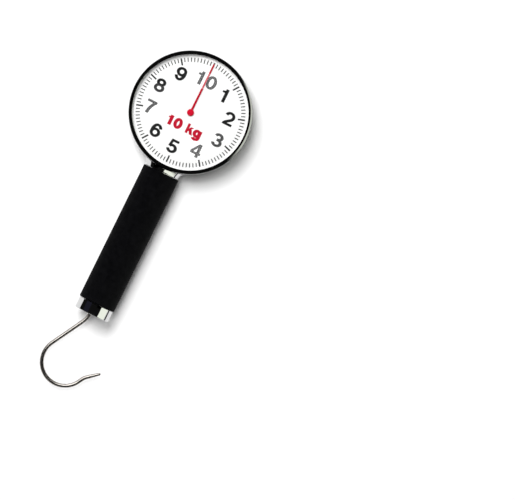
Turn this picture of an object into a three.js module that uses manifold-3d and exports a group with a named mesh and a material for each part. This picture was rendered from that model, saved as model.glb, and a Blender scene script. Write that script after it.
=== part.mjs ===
// A mechanical hanging scale for fish, with a clock-face dial.
// It lies on its back: +Z out of the dial, +Y to twelve o'clock, the handle and the hook along -Y.
// The origin is on the flat back, under the axis of the pointer. All sizes are in millimetres.
import * as THREE from 'three';
import { mergeVertices } from 'three/addons/utils/BufferGeometryUtils.js';
import Module from 'manifold-3d';

const wasm = await Module();
wasm.setup();

// ---- driving dimensions -------------------------------------------------------------------------

// running and assembly gaps
const GAP = 0.3;
const SHAFT_GAP = 0.1;
const SEAT_GAP = 0.2;

// how far a cutter reaches past the faces that it cuts
const OVERCUT = 1.0;

// dial head: radii from the pointer's axis, heights from the flat back
const CAN_R = 46.0;
const CAN_WALL = 1.2;
const CAN_TOP = 23.8;
const CAN_EDGE_ROUND = 1.0;
const BACK_COVER_R = 44.2;
const BACK_COVER_THICK = 1.5;
const BACK_LEDGE_R = 38.0;
const BACK_LEDGE_THICK = 1.6;
const DIAL_LEDGE_R = 43.3;
const DIAL_LEDGE_Z = 20.4;
const DIAL_LEDGE_THICK = 1.0;
const BEZEL_R = 47.0;
const BEZEL_WALL = 0.7;
const BEZEL_WINDOW_R = 43.9;
const BEZEL_TOP = 28.0;
const BEZEL_SKIRT_Z = 18.0;
const BEZEL_SKIRT_EDGE = 0.2;
const BEZEL_CREST_R = 44.4;
const BEZEL_CROWN = 3.3;
const BEZEL_LIP_Z = 26.9;
const LENS_R = 45.6;
const LENS_THICK = 1.6;
const DIAL_R = 44.4;
const DIAL_THICK = 0.75;
const DIAL_HOLE_R = 2.0;

// movement: rack and pinion, one turn of the pointer for the full ten kilograms
const MODULE = 0.5;
const PINION_TEETH = 14;
const PRESSURE_ANGLE = THREE.MathUtils.degToRad(20);
const PINION_ADDENDUM = 1.0 * MODULE;
const RACK_ADDENDUM = 0.8 * MODULE;
const DEDENDUM = 1.25 * MODULE;
const TOOTH_THINNING = 0.08;
const PINION_Z = 8.2;
const PINION_WIDTH = 3.0;
const RACK_Z = 8.6;
const RACK_THICK = 2.2;
const RACK_BACK_X = 6.3;
const RACK_TOP_Y = 27.5;
const RACK_BOTTOM_Y = -44.0;
const RACK_FOOT_Y = -34.5;
const RACK_FOOT_X = -3.0;
const RACK_TEETH_BELOW = 4;
const BASE_R = 43.0;
const BASE_THICK = 1.2;
const FRONT_PLATE_Z = 13.6;
const FRONT_PLATE_THICK = 1.2;
const FRONT_PLATE_HALF = 20.0;
const FRONT_PLATE_CORNER = 4.0;
const GUIDE_TOP = 11.8;
const PILLAR_R = 2.2;
const PILLAR_PLACE = 16.0;
const ARBOR_R = 1.25;
const ARBOR_TIP_R = 1.0;
const POINTER_Z = 22.9;
const POINTER_THICK = 0.5;
const POINTER_REACH = 40.9;
const POINTER_ROOT_HALF = 0.84;
const POINTER_TIP_HALF = 0.6;
const HUB_R = 2.65;
const HUB_TOP = 24.6;

// screws
const CASE_SCREW_PLACE_R = 41.2;
const CASE_SCREW_R = 1.2;
const CASE_SCREW_HEAD_R = 2.4;
const SMALL_SCREW_R = 0.9;
const SMALL_SCREW_HEAD_R = 1.9;
const SMALL_SCREW_HEAD = 1.2;
const COLLAR_SCREW_X = 12.0;
const COLLAR_SCREW_TIP_Y = -48.0;

// handle, turned about an axis along Y
const AXIS_Z = 14.5;
const GRIP_R = 14.5;
const GRIP_TOP_Y = -50.2;
const GRIP_BOTTOM_Y = -161.3;
const GRIP_ROUND = 0.5;
const TUBE_R = 10.5;
const TUBE_WALL = 1.0;
const TUBE_TOP_Y = -48.9;
const TUBE_BOTTOM_Y = -167.0;
const COLLAR_R = 13.6;
const COLLAR_FLARE = 2.1;
const COLLAR_BOTTOM_Y = -50.0;
const COLLAR_TOP_Y = -43.4;
const COLLAR_FLARE_TOP_Y = -44.5;
const COLLAR_HALF_HEIGHT_LOSS = 0.3;
const COLLAR_BORE_R = 9.3;
const SKIRT_R = 11.8;
const SKIRT_BOTTOM_Y = -58.0;
const CAP_R = 14.0;
const CAP_TOP_Y = -161.6;
const CAP_BOTTOM_Y = -170.3;
const CAP_EDGE = 0.45;
const NECK_SLOT_HALF_WIDTH = 7.2;
const NECK_SLOT_LOW_Z = 7.6;
const NECK_SLOT_HIGH_Z = 17.4;
const NECK_CUT_DEPTH = 6.0;

// draw rod, spring and hook
const ROD_R = 2.5;
const ROD_END_R = 4.2;
const ROD_TOP_Y = -44.5;
const ROD_BLOCK_TOP = 15.9;
const ROD_STEP_Y = -126.0;
const ROD_BOTTOM_Y = -168.5;
const BUSH_TOP_Y = -149.0;
const BUSH_BOTTOM_Y = -166.9;
const BUSH_R = 9.2;
const NUT_TOP_Y = -60.0;
const NUT_THICK = 5.0;
const NUT_CORNER_R = 5.8;
const WASHER_R = 8.8;
const WASHER_THICK = 1.5;
const SPRING_WIRE_R = 1.0;
const SPRING_COIL_R = 7.5;
const SPRING_ACTIVE_TURNS = 10.5;
const SPRING_END_TURNS = 1.0;
const SPRING_END_PITCH = 2.15;
const HOOK_WIRE_R = 1.55;
const HOOK_SHANK_X = -1.15;
const HOOK_SHANK_TOP_Y = -158.5;
const HOOK_LEG_LEAN = THREE.MathUtils.degToRad(29.3);
const HOOK_LEG_BEND_R = 21.0;
const HOOK_LEG_BEND_Y = -168.4;
const HOOK_BEND_R = 17.9;
const HOOK_BEND_BOTTOM_Y = -229.55;
const HOOK_THROAT_LEAN = THREE.MathUtils.degToRad(28.1);
const HOOK_TIP_LEAN = THREE.MathUtils.degToRad(50.3);
const HOOK_THROAT_STRAIGHT = 1.8;
const HOOK_TIP_BEND_R = 13.3;
const HOOK_TIP_LENGTH = 0.8;
const HOOK_TAPER_LENGTH = 9.0;
const HOOK_END_ROUND = 0.8;
const HOOK_END_R = 1.05;
const HOOK_PIN_Y = -163.5;
const HOOK_PIN_R = 0.5;

// facets round a circle, by size
const ROUND_LARGE = 60;
const ROUND_HANDLE = 32;
const ROUND_SMALL = 12;
const SPRING_SIDES = 6;
const SPRING_STEPS_PER_TURN = 12;
const HOOK_SIDES = 10;
const HOOK_STEP = 2.0;

// heights and places that follow from the above
const LENS_BOTTOM = BEZEL_LIP_Z - GAP - LENS_THICK;
const GASKET_Z = CAN_TOP + GAP;
const DIAL_Z = DIAL_LEDGE_Z + DIAL_LEDGE_THICK + GAP;
const DIAL_TOP = DIAL_Z + DIAL_THICK;
const BACK_LEDGE_Z = BACK_COVER_THICK + GAP;
const BASE_Z = BACK_LEDGE_Z + BACK_LEDGE_THICK + GAP;
const BASE_TOP = BASE_Z + BASE_THICK;
const PITCH_R = MODULE * PINION_TEETH / 2;
const TOOTH_PITCH = Math.PI * MODULE;
const WASHER_TOP_Y = NUT_TOP_Y - NUT_THICK - GAP;

// ---- materials ----------------------------------------------------------------------------------

function material(color, roughness, metalness, opacity = 1) {
  const transparent = opacity < 1;
  return new THREE.MeshStandardMaterial({ color, roughness, metalness, opacity, transparent });
}

const chrome = material(0xd6d8da, 0.06, 1.0);
const clearPlastic = material(0xf4f7f8, 0.04, 0.0, 0.2);
const whitePaint = material(0xf7f7f5, 0.45, 0.0);
const redPlastic = material(0xd1002b, 0.35, 0.0);
const blackFoam = material(0x101113, 0.9, 0.0);
const blackRubber = material(0x17181a, 0.7, 0.0);
const steel = material(0xb9b6b0, 0.25, 1.0);
const brass = material(0xc6a15b, 0.3, 1.0);
const springSteel = material(0x8d8f92, 0.35, 1.0);
const nylon = material(0xe8e4d8, 0.5, 0.0);

// ---- solids -------------------------------------------------------------------------------------

// A closed solid from a geometry, facing outwards, without the collapsed triangles at a pole.
function solid(geometry) {
  const bare = geometry.clone();
  bare.deleteAttribute('normal');
  bare.deleteAttribute('uv');
  const merged = mergeVertices(bare, 1e-4);
  const corners = merged.index.array;
  const triVerts = [];
  for (let i = 0; i < corners.length; i += 3) {
    const [a, b, c] = corners.slice(i, i + 3);
    if (a !== b && b !== c && c !== a) triVerts.push(a, b, c);
  }
  const vertProperties = new Float32Array(merged.attributes.position.array);
  const build = (order) => new wasm.Manifold(
    new wasm.Mesh({ numProp: 3, vertProperties, triVerts: new Uint32Array(order) }));
  const made = build(triVerts);
  return made.volume() > 0 ? made : build(triVerts.reverse());
}

function geometryOf(shape) {
  const { vertProperties, triVerts } = shape.getMesh();
  const geometry = new THREE.BufferGeometry();
  geometry.setAttribute('position', new THREE.BufferAttribute(new Float32Array(vertProperties), 3));
  geometry.setIndex(new THREE.BufferAttribute(new Uint32Array(triVerts), 1));
  return geometry;
}

function pointsOf(profile) {
  return profile.map(([radius, along]) => new THREE.Vector2(radius, along));
}

// Turned about the pointer's axis. The profile is [radius, z]; a ring's profile is closed here.
function turnedOnZ(profile, facets) {
  const onAxis = profile[0][0] === 0;
  const loop = onAxis ? profile : [...profile, profile[0]];
  return solid(new THREE.LatheGeometry(pointsOf(loop), facets).rotateX(Math.PI / 2));
}

// Turned about the handle's axis. The profile is [radius, y].
function turnedOnHandle(profile, facets) {
  const onAxis = profile[0][0] === 0;
  const loop = onAxis ? profile : [...profile, profile[0]];
  return solid(new THREE.LatheGeometry(pointsOf(loop), facets).translate(0, 0, AXIS_Z));
}

function diskOnZ(radius, low, high, facets) {
  return turnedOnZ([[0, low], [radius, low], [radius, high], [0, high]], facets);
}

function ringOnZ(inner, outer, low, high, facets) {
  return turnedOnZ([[inner, low], [outer, low], [outer, high], [inner, high]], facets);
}

function rodOnHandle(radius, low, high, facets) {
  return turnedOnHandle([[0, low], [radius, low], [radius, high], [0, high]], facets);
}

function box(low, high) {
  const size = high.map((value, i) => value - low[i]);
  const middle = high.map((value, i) => (value + low[i]) / 2);
  return solid(new THREE.BoxGeometry(...size).translate(...middle));
}

// A flat outline in X and Y, given a thickness from a height upwards.
function plate(outline, low, thickness) {
  const options = { depth: thickness, bevelEnabled: false, curveSegments: 4 };
  return solid(new THREE.ExtrudeGeometry(outline, options).translate(0, 0, low));
}

function roundedRectangle(left, right, bottom, top, corner) {
  const shape = new THREE.Shape();
  shape.moveTo(left + corner, bottom);
  shape.lineTo(right - corner, bottom);
  shape.quadraticCurveTo(right, bottom, right, bottom + corner);
  shape.lineTo(right, top - corner);
  shape.quadraticCurveTo(right, top, right - corner, top);
  shape.lineTo(left + corner, top);
  shape.quadraticCurveTo(left, top, left, top - corner);
  shape.lineTo(left, bottom + corner);
  shape.quadraticCurveTo(left, bottom, left + corner, bottom);
  return shape;
}

function quarterTurns(first) {
  return [0, 1, 2, 3].map((i) => first + i * Math.PI / 2);
}

const group = new THREE.Group();

function addPiece(name, shape, look) {
  const mesh = new THREE.Mesh(geometryOf(shape), look);
  mesh.name = name;
  group.add(mesh);
}

// ---- dial head ----------------------------------------------------------------------------------

const caseScrewPlaces = quarterTurns(Math.PI / 4).map((turn) => [
  CASE_SCREW_PLACE_R * Math.cos(turn),
  CASE_SCREW_PLACE_R * Math.sin(turn),
]);

const pillarPlaces = [[1, 1], [-1, 1], [-1, -1], [1, -1]].map(([x, y]) => [
  x * PILLAR_PLACE,
  y * PILLAR_PLACE,
]);

function drillOnZ(shape, places, radius, low, high) {
  let drilled = shape;
  for (const [x, y] of places) {
    drilled = drilled.subtract(diskOnZ(radius, low, high, ROUND_SMALL).translate([x, y, 0]));
  }
  return drilled;
}

// The drawn case: a wall with a ledge for the back cover and one for the dial, open to the neck.
function makeHeadCan() {
  const inner = CAN_R - CAN_WALL;
  const recess = BACK_COVER_R + GAP;
  const ledgeTop = BACK_LEDGE_Z + BACK_LEDGE_THICK;
  const dialLedgeTop = DIAL_LEDGE_Z + DIAL_LEDGE_THICK;
  let can = turnedOnZ([
    [recess, 0],
    [CAN_R - CAN_EDGE_ROUND, 0],
    [CAN_R - 0.3 * CAN_EDGE_ROUND, 0.3 * CAN_EDGE_ROUND],
    [CAN_R, CAN_EDGE_ROUND],
    [CAN_R, CAN_TOP],
    [inner, CAN_TOP],
    [inner, dialLedgeTop],
    [DIAL_LEDGE_R, dialLedgeTop],
    [DIAL_LEDGE_R, DIAL_LEDGE_Z],
    [inner, DIAL_LEDGE_Z],
    [inner, ledgeTop],
    [BACK_LEDGE_R, ledgeTop],
    [BACK_LEDGE_R, BACK_LEDGE_Z],
    [recess, BACK_LEDGE_Z],
  ], ROUND_LARGE);
  can = can.subtract(box(
    [-NECK_SLOT_HALF_WIDTH, -CAN_R - OVERCUT, NECK_SLOT_LOW_Z],
    [NECK_SLOT_HALF_WIDTH, -CAN_R + NECK_CUT_DEPTH, NECK_SLOT_HIGH_Z],
  ));
  for (const side of [-1, 1]) {
    const hole = rodOnHandle(SMALL_SCREW_R + GAP, -CAN_R - OVERCUT, -CAN_R + NECK_CUT_DEPTH, ROUND_SMALL);
    can = can.subtract(hole.translate([side * COLLAR_SCREW_X, 0, 0]));
  }
  return drillOnZ(can, caseScrewPlaces, CASE_SCREW_R + GAP, BACK_LEDGE_Z - OVERCUT, ledgeTop + OVERCUT);
}

// The crowned ring that holds the lens: highest near the window, falling off to the outside.
function makeBezel() {
  const crownPoints = [];
  const crownCentreZ = BEZEL_TOP - BEZEL_CROWN;
  const lastAngle = Math.asin((BEZEL_R - BEZEL_CREST_R) / BEZEL_CROWN);
  const steps = 4;
  for (let i = 0; i <= steps; i += 1) {
    const angle = lastAngle * i / steps;
    crownPoints.push([
      BEZEL_CREST_R + BEZEL_CROWN * Math.sin(angle),
      crownCentreZ + BEZEL_CROWN * Math.cos(angle),
    ]);
  }
  const round = BEZEL_CREST_R - BEZEL_WINDOW_R;
  return turnedOnZ([
    [BEZEL_WINDOW_R, BEZEL_LIP_Z],
    [BEZEL_WINDOW_R, BEZEL_TOP - round],
    [BEZEL_WINDOW_R + 0.3 * round, BEZEL_TOP - 0.3 * round],
    ...crownPoints,
    [BEZEL_R, BEZEL_SKIRT_Z + BEZEL_SKIRT_EDGE],
    [BEZEL_R - BEZEL_SKIRT_EDGE, BEZEL_SKIRT_Z],
    [BEZEL_R - BEZEL_WALL, BEZEL_SKIRT_Z],
    [BEZEL_R - BEZEL_WALL, BEZEL_LIP_Z],
  ], ROUND_LARGE);
}

function makeBackCover() {
  let cover = diskOnZ(BACK_COVER_R, 0, BACK_COVER_THICK, ROUND_LARGE);
  const shankHole = CASE_SCREW_R + GAP;
  const headHole = CASE_SCREW_HEAD_R + 1.0;
  for (const [x, y] of caseScrewPlaces) {
    const countersink = turnedOnZ([
      [0, -OVERCUT / 2],
      [headHole, -OVERCUT / 2],
      [shankHole, BACK_COVER_THICK - 0.1],
      [shankHole, BACK_COVER_THICK + OVERCUT],
      [0, BACK_COVER_THICK + OVERCUT],
    ], ROUND_SMALL);
    cover = cover.subtract(countersink.translate([x, y, 0]));
  }
  return cover;
}

// A countersunk screw with a cross recess, its head flush with the back.
function makeCaseScrew() {
  const headLow = 0.1;
  const headHigh = 1.3;
  const tipZ = BASE_TOP + 0.8;
  const screw = turnedOnZ([
    [0, headLow],
    [CASE_SCREW_HEAD_R, headLow],
    [CASE_SCREW_R, headHigh],
    [CASE_SCREW_R, tipZ],
    [0, tipZ],
  ], ROUND_SMALL);
  const arm = 1.4;
  const half = 0.27;
  const depth = headLow + 0.8;
  return screw
    .subtract(box([-arm, -half, -OVERCUT], [arm, half, depth]))
    .subtract(box([-half, -arm, -OVERCUT], [half, arm, depth]));
}

addPiece('head_can', makeHeadCan(), chrome);
addPiece('bezel', makeBezel(), chrome);
addPiece('lens', diskOnZ(LENS_R, LENS_BOTTOM, LENS_BOTTOM + LENS_THICK, ROUND_LARGE), clearPlastic);
addPiece('lens_gasket',
  ringOnZ(BEZEL_WINDOW_R + 0.1, LENS_R - 0.1, GASKET_Z, LENS_BOTTOM - GAP, ROUND_LARGE), blackRubber);
addPiece('dial_spacer',
  ringOnZ(BEZEL_WINDOW_R + 0.1, DIAL_R + 0.1, DIAL_TOP + GAP, CAN_TOP, ROUND_LARGE), whitePaint);
addPiece('dial_plate', ringOnZ(DIAL_HOLE_R, DIAL_R, DIAL_Z, DIAL_TOP, ROUND_LARGE), whitePaint);
addPiece('back_cover', makeBackCover(), chrome);
caseScrewPlaces.forEach(([x, y], i) => {
  addPiece(`case_screw_${i + 1}`, makeCaseScrew().translate([x, y, 0]), steel);
});

// ---- movement -----------------------------------------------------------------------------------

const guideScrewPlaces = [[8.9, -5.2], [8.9, 5.2]];
const rackRivetPlaces = [[0, -37.0], [0, -41.5]];

function makeMovementBase() {
  let base = ringOnZ(ARBOR_R + SHAFT_GAP, BASE_R, BASE_Z, BASE_TOP, ROUND_LARGE);
  base = drillOnZ(base, caseScrewPlaces, CASE_SCREW_R + GAP, BASE_Z - OVERCUT, BASE_TOP + OVERCUT);
  return drillOnZ(base, guideScrewPlaces, SMALL_SCREW_R + GAP, BASE_Z - OVERCUT, BASE_TOP + OVERCUT);
}

function makeFrontPlate() {
  const half = FRONT_PLATE_HALF;
  const outline = roundedRectangle(-half, half, -half, half, FRONT_PLATE_CORNER);
  const top = FRONT_PLATE_Z + FRONT_PLATE_THICK;
  const sheet = plate(outline, FRONT_PLATE_Z, FRONT_PLATE_THICK);
  const bored = drillOnZ(sheet, [[0, 0]], ARBOR_R + SHAFT_GAP, FRONT_PLATE_Z - OVERCUT, top + OVERCUT);
  return drillOnZ(bored, pillarPlaces, SMALL_SCREW_R + GAP, FRONT_PLATE_Z - OVERCUT, top + OVERCUT);
}

function makePillar() {
  const top = FRONT_PLATE_Z - SEAT_GAP;
  const bottom = BASE_TOP + SEAT_GAP;
  const hole = SMALL_SCREW_R + GAP;
  const holeDepth = 4;
  return turnedOnZ([
    [0, bottom],
    [PILLAR_R, bottom],
    [PILLAR_R, top],
    [hole, top],
    [hole, top - holeDepth],
    [0, top - holeDepth],
  ], ROUND_SMALL);
}

// A cheese-head screw pointing down, its head resting on a height.
function makeSmallScrew(seat, length) {
  const low = seat + SEAT_GAP;
  const head = turnedOnZ([
    [0, low - length],
    [SMALL_SCREW_R, low - length],
    [SMALL_SCREW_R, low],
    [SMALL_SCREW_HEAD_R, low],
    [SMALL_SCREW_HEAD_R, low + SMALL_SCREW_HEAD],
    [0, low + SMALL_SCREW_HEAD],
  ], ROUND_SMALL);
  const slotHalf = 0.25;
  const slotDepth = 0.5;
  return head.subtract(box(
    [-SMALL_SCREW_HEAD_R - OVERCUT, -slotHalf, low + SMALL_SCREW_HEAD - slotDepth],
    [SMALL_SCREW_HEAD_R + OVERCUT, slotHalf, low + SMALL_SCREW_HEAD + OVERCUT],
  ));
}

// The half angle of a pinion tooth at a radius, from its involute.
function toothHalfAngle(radius) {
  const baseR = PITCH_R * Math.cos(PRESSURE_ANGLE);
  const involute = (angle) => Math.tan(angle) - angle;
  const atPitch = (TOOTH_PITCH / 2 - TOOTH_THINNING) / (2 * PITCH_R);
  const angle = Math.acos(Math.min(1, baseR / Math.max(radius, baseR)));
  return atPitch + involute(PRESSURE_ANGLE) - involute(angle);
}

// One tooth of the pinion points along +X and stands in a gap of the rack.
function makePinion() {
  const rootR = PITCH_R - DEDENDUM;
  const baseR = PITCH_R * Math.cos(PRESSURE_ANGLE);
  const tipR = PITCH_R + PINION_ADDENDUM;
  const radii = [rootR, baseR, (baseR + PITCH_R) / 2, PITCH_R, (PITCH_R + tipR) / 2, tipR];
  const outline = new THREE.Shape();
  const corners = [];
  for (let tooth = 0; tooth < PINION_TEETH; tooth += 1) {
    const middle = 2 * Math.PI * tooth / PINION_TEETH;
    for (const radius of radii) corners.push([radius, middle - toothHalfAngle(radius)]);
    for (const radius of [...radii].reverse()) corners.push([radius, middle + toothHalfAngle(radius)]);
  }
  corners.forEach(([radius, angle], i) => {
    const x = radius * Math.cos(angle);
    const y = radius * Math.sin(angle);
    if (i === 0) outline.moveTo(x, y);
    else outline.lineTo(x, y);
  });
  const blank = plate(outline, PINION_Z, PINION_WIDTH);
  const top = PINION_Z + PINION_WIDTH;
  return drillOnZ(blank, [[0, 0]], ARBOR_R + SHAFT_GAP, PINION_Z - OVERCUT, top + OVERCUT);
}

// A toothed bar on the +X side of the pinion, with a foot at the bottom for the draw rod.
function makeRack() {
  const tipX = PITCH_R - RACK_ADDENDUM;
  const rootX = PITCH_R + DEDENDUM;
  const halfAtPitch = (TOOTH_PITCH / 2 - TOOTH_THINNING) / 2;
  const halfAt = (x) => halfAtPitch + (x - PITCH_R) * Math.tan(PRESSURE_ANGLE);
  const outline = new THREE.Shape();
  outline.moveTo(RACK_FOOT_X, RACK_BOTTOM_Y);
  outline.lineTo(RACK_BACK_X, RACK_BOTTOM_Y);
  outline.lineTo(RACK_BACK_X, RACK_TOP_Y);
  outline.lineTo(rootX, RACK_TOP_Y);
  const lastTooth = Math.floor((RACK_TOP_Y - 1) / TOOTH_PITCH - 0.5);
  for (let tooth = lastTooth; tooth >= -RACK_TEETH_BELOW; tooth -= 1) {
    const middle = (tooth + 0.5) * TOOTH_PITCH;
    outline.lineTo(rootX, middle + halfAt(rootX));
    outline.lineTo(tipX, middle + halfAt(tipX));
    outline.lineTo(tipX, middle - halfAt(tipX));
    outline.lineTo(rootX, middle - halfAt(rootX));
  }
  outline.lineTo(rootX, RACK_FOOT_Y);
  outline.lineTo(RACK_FOOT_X, RACK_FOOT_Y);
  const bar = plate(outline, RACK_Z, RACK_THICK);
  const top = RACK_Z + RACK_THICK;
  return drillOnZ(bar, rackRivetPlaces, SMALL_SCREW_R + GAP, RACK_Z - OVERCUT, top + OVERCUT);
}

// A nylon channel that keeps the rack in mesh from behind.
function makeRackGuide() {
  const frontX = 5.0;
  const backX = 11.4;
  const halfLength = 8.0;
  const bottom = BASE_TOP + SEAT_GAP;
  const block = box([frontX, -halfLength, bottom], [backX, halfLength, GUIDE_TOP]);
  const groove = box(
    [frontX - OVERCUT, -halfLength - OVERCUT, RACK_Z - GAP],
    [RACK_BACK_X + GAP, halfLength + OVERCUT, RACK_Z + RACK_THICK + GAP],
  );
  const channel = block.subtract(groove);
  return drillOnZ(channel, guideScrewPlaces, SMALL_SCREW_R + GAP, BASE_TOP, GUIDE_TOP + OVERCUT);
}

function makeArbor() {
  const bottom = BASE_Z + 0.1;
  const shoulder = FRONT_PLATE_Z + FRONT_PLATE_THICK + 1;
  const top = POINTER_Z + POINTER_THICK + 0.1;
  return turnedOnZ([
    [0, bottom],
    [ARBOR_R, bottom],
    [ARBOR_R, shoulder],
    [ARBOR_TIP_R, shoulder],
    [ARBOR_TIP_R, top],
    [0, top],
  ], ROUND_SMALL);
}

// A flat needle with a round eye on the arbor; it has no tail.
function makePointer() {
  const eyeR = HUB_R - 0.3;
  const blade = new THREE.Shape();
  blade.moveTo(-POINTER_ROOT_HALF, 0);
  blade.lineTo(POINTER_ROOT_HALF, 0);
  blade.lineTo(POINTER_TIP_HALF, POINTER_REACH - POINTER_TIP_HALF);
  blade.lineTo(0, POINTER_REACH);
  blade.lineTo(-POINTER_TIP_HALF, POINTER_REACH - POINTER_TIP_HALF);
  const top = POINTER_Z + POINTER_THICK;
  const whole = plate(blade, POINTER_Z, POINTER_THICK).add(diskOnZ(eyeR, POINTER_Z, top, ROUND_SMALL));
  return drillOnZ(whole, [[0, 0]], ARBOR_TIP_R + SHAFT_GAP, POINTER_Z - OVERCUT, top + OVERCUT);
}

function makeHubCap() {
  const low = POINTER_Z + POINTER_THICK + GAP;
  return turnedOnZ([
    [0, low],
    [HUB_R, low],
    [HUB_R, HUB_TOP - 0.5],
    [HUB_R - 0.4, HUB_TOP - 0.1],
    [HUB_R - 1.1, HUB_TOP],
    [0, HUB_TOP],
  ], ROUND_SMALL * 2);
}

const frontPlateTop = FRONT_PLATE_Z + FRONT_PLATE_THICK;
const pillarScrewLength = 5;
const guideScrewLength = 7.5;
addPiece('movement_base', makeMovementBase(), steel);
addPiece('movement_front_plate', makeFrontPlate(), brass);
pillarPlaces.forEach(([x, y], i) => {
  addPiece(`pillar_${i + 1}`, makePillar().translate([x, y, 0]), brass);
  const screw = makeSmallScrew(frontPlateTop, pillarScrewLength);
  addPiece(`movement_screw_${i + 1}`, screw.translate([x, y, 0]), steel);
});
addPiece('rack_guide', makeRackGuide(), nylon);
guideScrewPlaces.forEach(([x, y], i) => {
  const screw = makeSmallScrew(GUIDE_TOP, guideScrewLength);
  addPiece(`guide_screw_${i + 1}`, screw.translate([x, y, 0]), steel);
});
addPiece('pointer_arbor', makeArbor(), steel);
addPiece('pinion', makePinion(), brass);
addPiece('pointer', makePointer(), redPlastic);
addPiece('hub_cap', makeHubCap(), redPlastic);

// ---- handle -------------------------------------------------------------------------------------

// How far up the flare a height is, from 0 at the grip to 1 at the head.
function flareShare(y) {
  const share = (y - COLLAR_BOTTOM_Y) / (COLLAR_FLARE_TOP_Y - COLLAR_BOTTOM_Y);
  return THREE.MathUtils.clamp(share, 0, 1);
}

// A sleeve that flares sideways towards the head, saddled on the case and on the bezel, with a
// skirt round the top of the tube.
function makeNeckCollar() {
  const flareSteps = 5;
  const flare = [];
  for (let i = 1; i <= flareSteps; i += 1) {
    const y = COLLAR_BOTTOM_Y + (COLLAR_FLARE_TOP_Y - COLLAR_BOTTOM_Y) * i / flareSteps;
    flare.push([COLLAR_R + COLLAR_FLARE * flareShare(y) ** 2, y]);
  }
  const tubeRoom = TUBE_R + GAP;
  const lowerEdge = 0.3;
  const profile = [
    [tubeRoom, SKIRT_BOTTOM_Y],
    [SKIRT_R, SKIRT_BOTTOM_Y],
    [SKIRT_R, COLLAR_BOTTOM_Y],
    [COLLAR_R - lowerEdge, COLLAR_BOTTOM_Y],
    [COLLAR_R, COLLAR_BOTTOM_Y + lowerEdge],
    ...flare,
    [COLLAR_R + COLLAR_FLARE, COLLAR_TOP_Y],
    [COLLAR_BORE_R, COLLAR_TOP_Y],
    [COLLAR_BORE_R, TUBE_TOP_Y + GAP],
    [tubeRoom, TUBE_TOP_Y + GAP],
  ];
  const turned = new THREE.LatheGeometry(pointsOf([...profile, profile[0]]), ROUND_HANDLE);
  const place = turned.attributes.position;
  for (let i = 0; i < place.count; i += 1) {
    const radius = Math.hypot(place.getX(i), place.getZ(i));
    if (radius > COLLAR_R + 0.01) {
      const halfHeight = COLLAR_R - COLLAR_HALF_HEIGHT_LOSS * flareShare(place.getY(i));
      place.setZ(i, place.getZ(i) * halfHeight / radius);
    }
  }
  const saddleTop = BEZEL_TOP + COLLAR_R;
  const saddle = turnedOnZ([
    [0, -OVERCUT],
    [CAN_R + GAP, -OVERCUT],
    [CAN_R + GAP, BEZEL_SKIRT_Z - GAP],
    [BEZEL_R + GAP, BEZEL_SKIRT_Z - GAP],
    [BEZEL_R + GAP, saddleTop],
    [0, saddleTop],
  ], ROUND_LARGE);
  let collar = solid(turned.translate(0, 0, AXIS_Z)).subtract(saddle);
  const holeBottom = COLLAR_SCREW_TIP_Y - SEAT_GAP;
  for (const side of [-1, 1]) {
    const hole = rodOnHandle(SMALL_SCREW_R + GAP, holeBottom, COLLAR_TOP_Y, ROUND_SMALL);
    collar = collar.subtract(hole.translate([side * COLLAR_SCREW_X, 0, 0]));
  }
  return collar;
}

// A screw from inside the case into the collar.
function makeCollarScrew() {
  const seat = -Math.sqrt((CAN_R - CAN_WALL) ** 2 - (COLLAR_SCREW_X + SMALL_SCREW_HEAD_R) ** 2) + 1.1;
  return turnedOnHandle([
    [0, COLLAR_SCREW_TIP_Y],
    [SMALL_SCREW_R, COLLAR_SCREW_TIP_Y],
    [SMALL_SCREW_R, seat],
    [SMALL_SCREW_HEAD_R, seat],
    [SMALL_SCREW_HEAD_R, seat + SMALL_SCREW_HEAD],
    [0, seat + SMALL_SCREW_HEAD],
  ], ROUND_SMALL);
}

function makeHandleTube() {
  const inner = TUBE_R - TUBE_WALL;
  return turnedOnHandle([
    [inner, TUBE_BOTTOM_Y],
    [TUBE_R, TUBE_BOTTOM_Y],
    [TUBE_R, TUBE_TOP_Y],
    [inner, TUBE_TOP_Y],
  ], ROUND_HANDLE);
}

// The foam sleeve, wider inside at the top for the skirt of the collar.
function makeFoamGrip() {
  const inner = TUBE_R + GAP;
  const innerTop = SKIRT_R + GAP;
  const soft = 0.3 * GRIP_ROUND;
  return turnedOnHandle([
    [inner, GRIP_BOTTOM_Y],
    [GRIP_R - GRIP_ROUND, GRIP_BOTTOM_Y],
    [GRIP_R - soft, GRIP_BOTTOM_Y + soft],
    [GRIP_R, GRIP_BOTTOM_Y + GRIP_ROUND],
    [GRIP_R, GRIP_TOP_Y - GRIP_ROUND],
    [GRIP_R - soft, GRIP_TOP_Y - soft],
    [GRIP_R - GRIP_ROUND, GRIP_TOP_Y],
    [innerTop, GRIP_TOP_Y],
    [innerTop, SKIRT_BOTTOM_Y - GAP],
    [inner, SKIRT_BOTTOM_Y - GAP],
  ], ROUND_HANDLE);
}

// The cap on the end of the tube, with a hole that lets the draw rod out.
function makeEndCap() {
  const hole = ROD_END_R + 0.4;
  const recess = TUBE_R + GAP;
  const floor = TUBE_BOTTOM_Y - GAP;
  return turnedOnHandle([
    [hole, CAP_BOTTOM_Y],
    [CAP_R - CAP_EDGE, CAP_BOTTOM_Y],
    [CAP_R, CAP_BOTTOM_Y + CAP_EDGE],
    [CAP_R, CAP_TOP_Y - CAP_EDGE],
    [CAP_R - CAP_EDGE, CAP_TOP_Y],
    [recess, CAP_TOP_Y],
    [recess, floor],
    [hole, floor],
  ], ROUND_HANDLE);
}

function makeEndBush() {
  const bore = ROD_END_R + SHAFT_GAP;
  return turnedOnHandle([
    [bore, BUSH_BOTTOM_Y],
    [BUSH_R, BUSH_BOTTOM_Y],
    [BUSH_R, BUSH_TOP_Y],
    [bore, BUSH_TOP_Y],
  ], ROUND_HANDLE);
}

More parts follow.
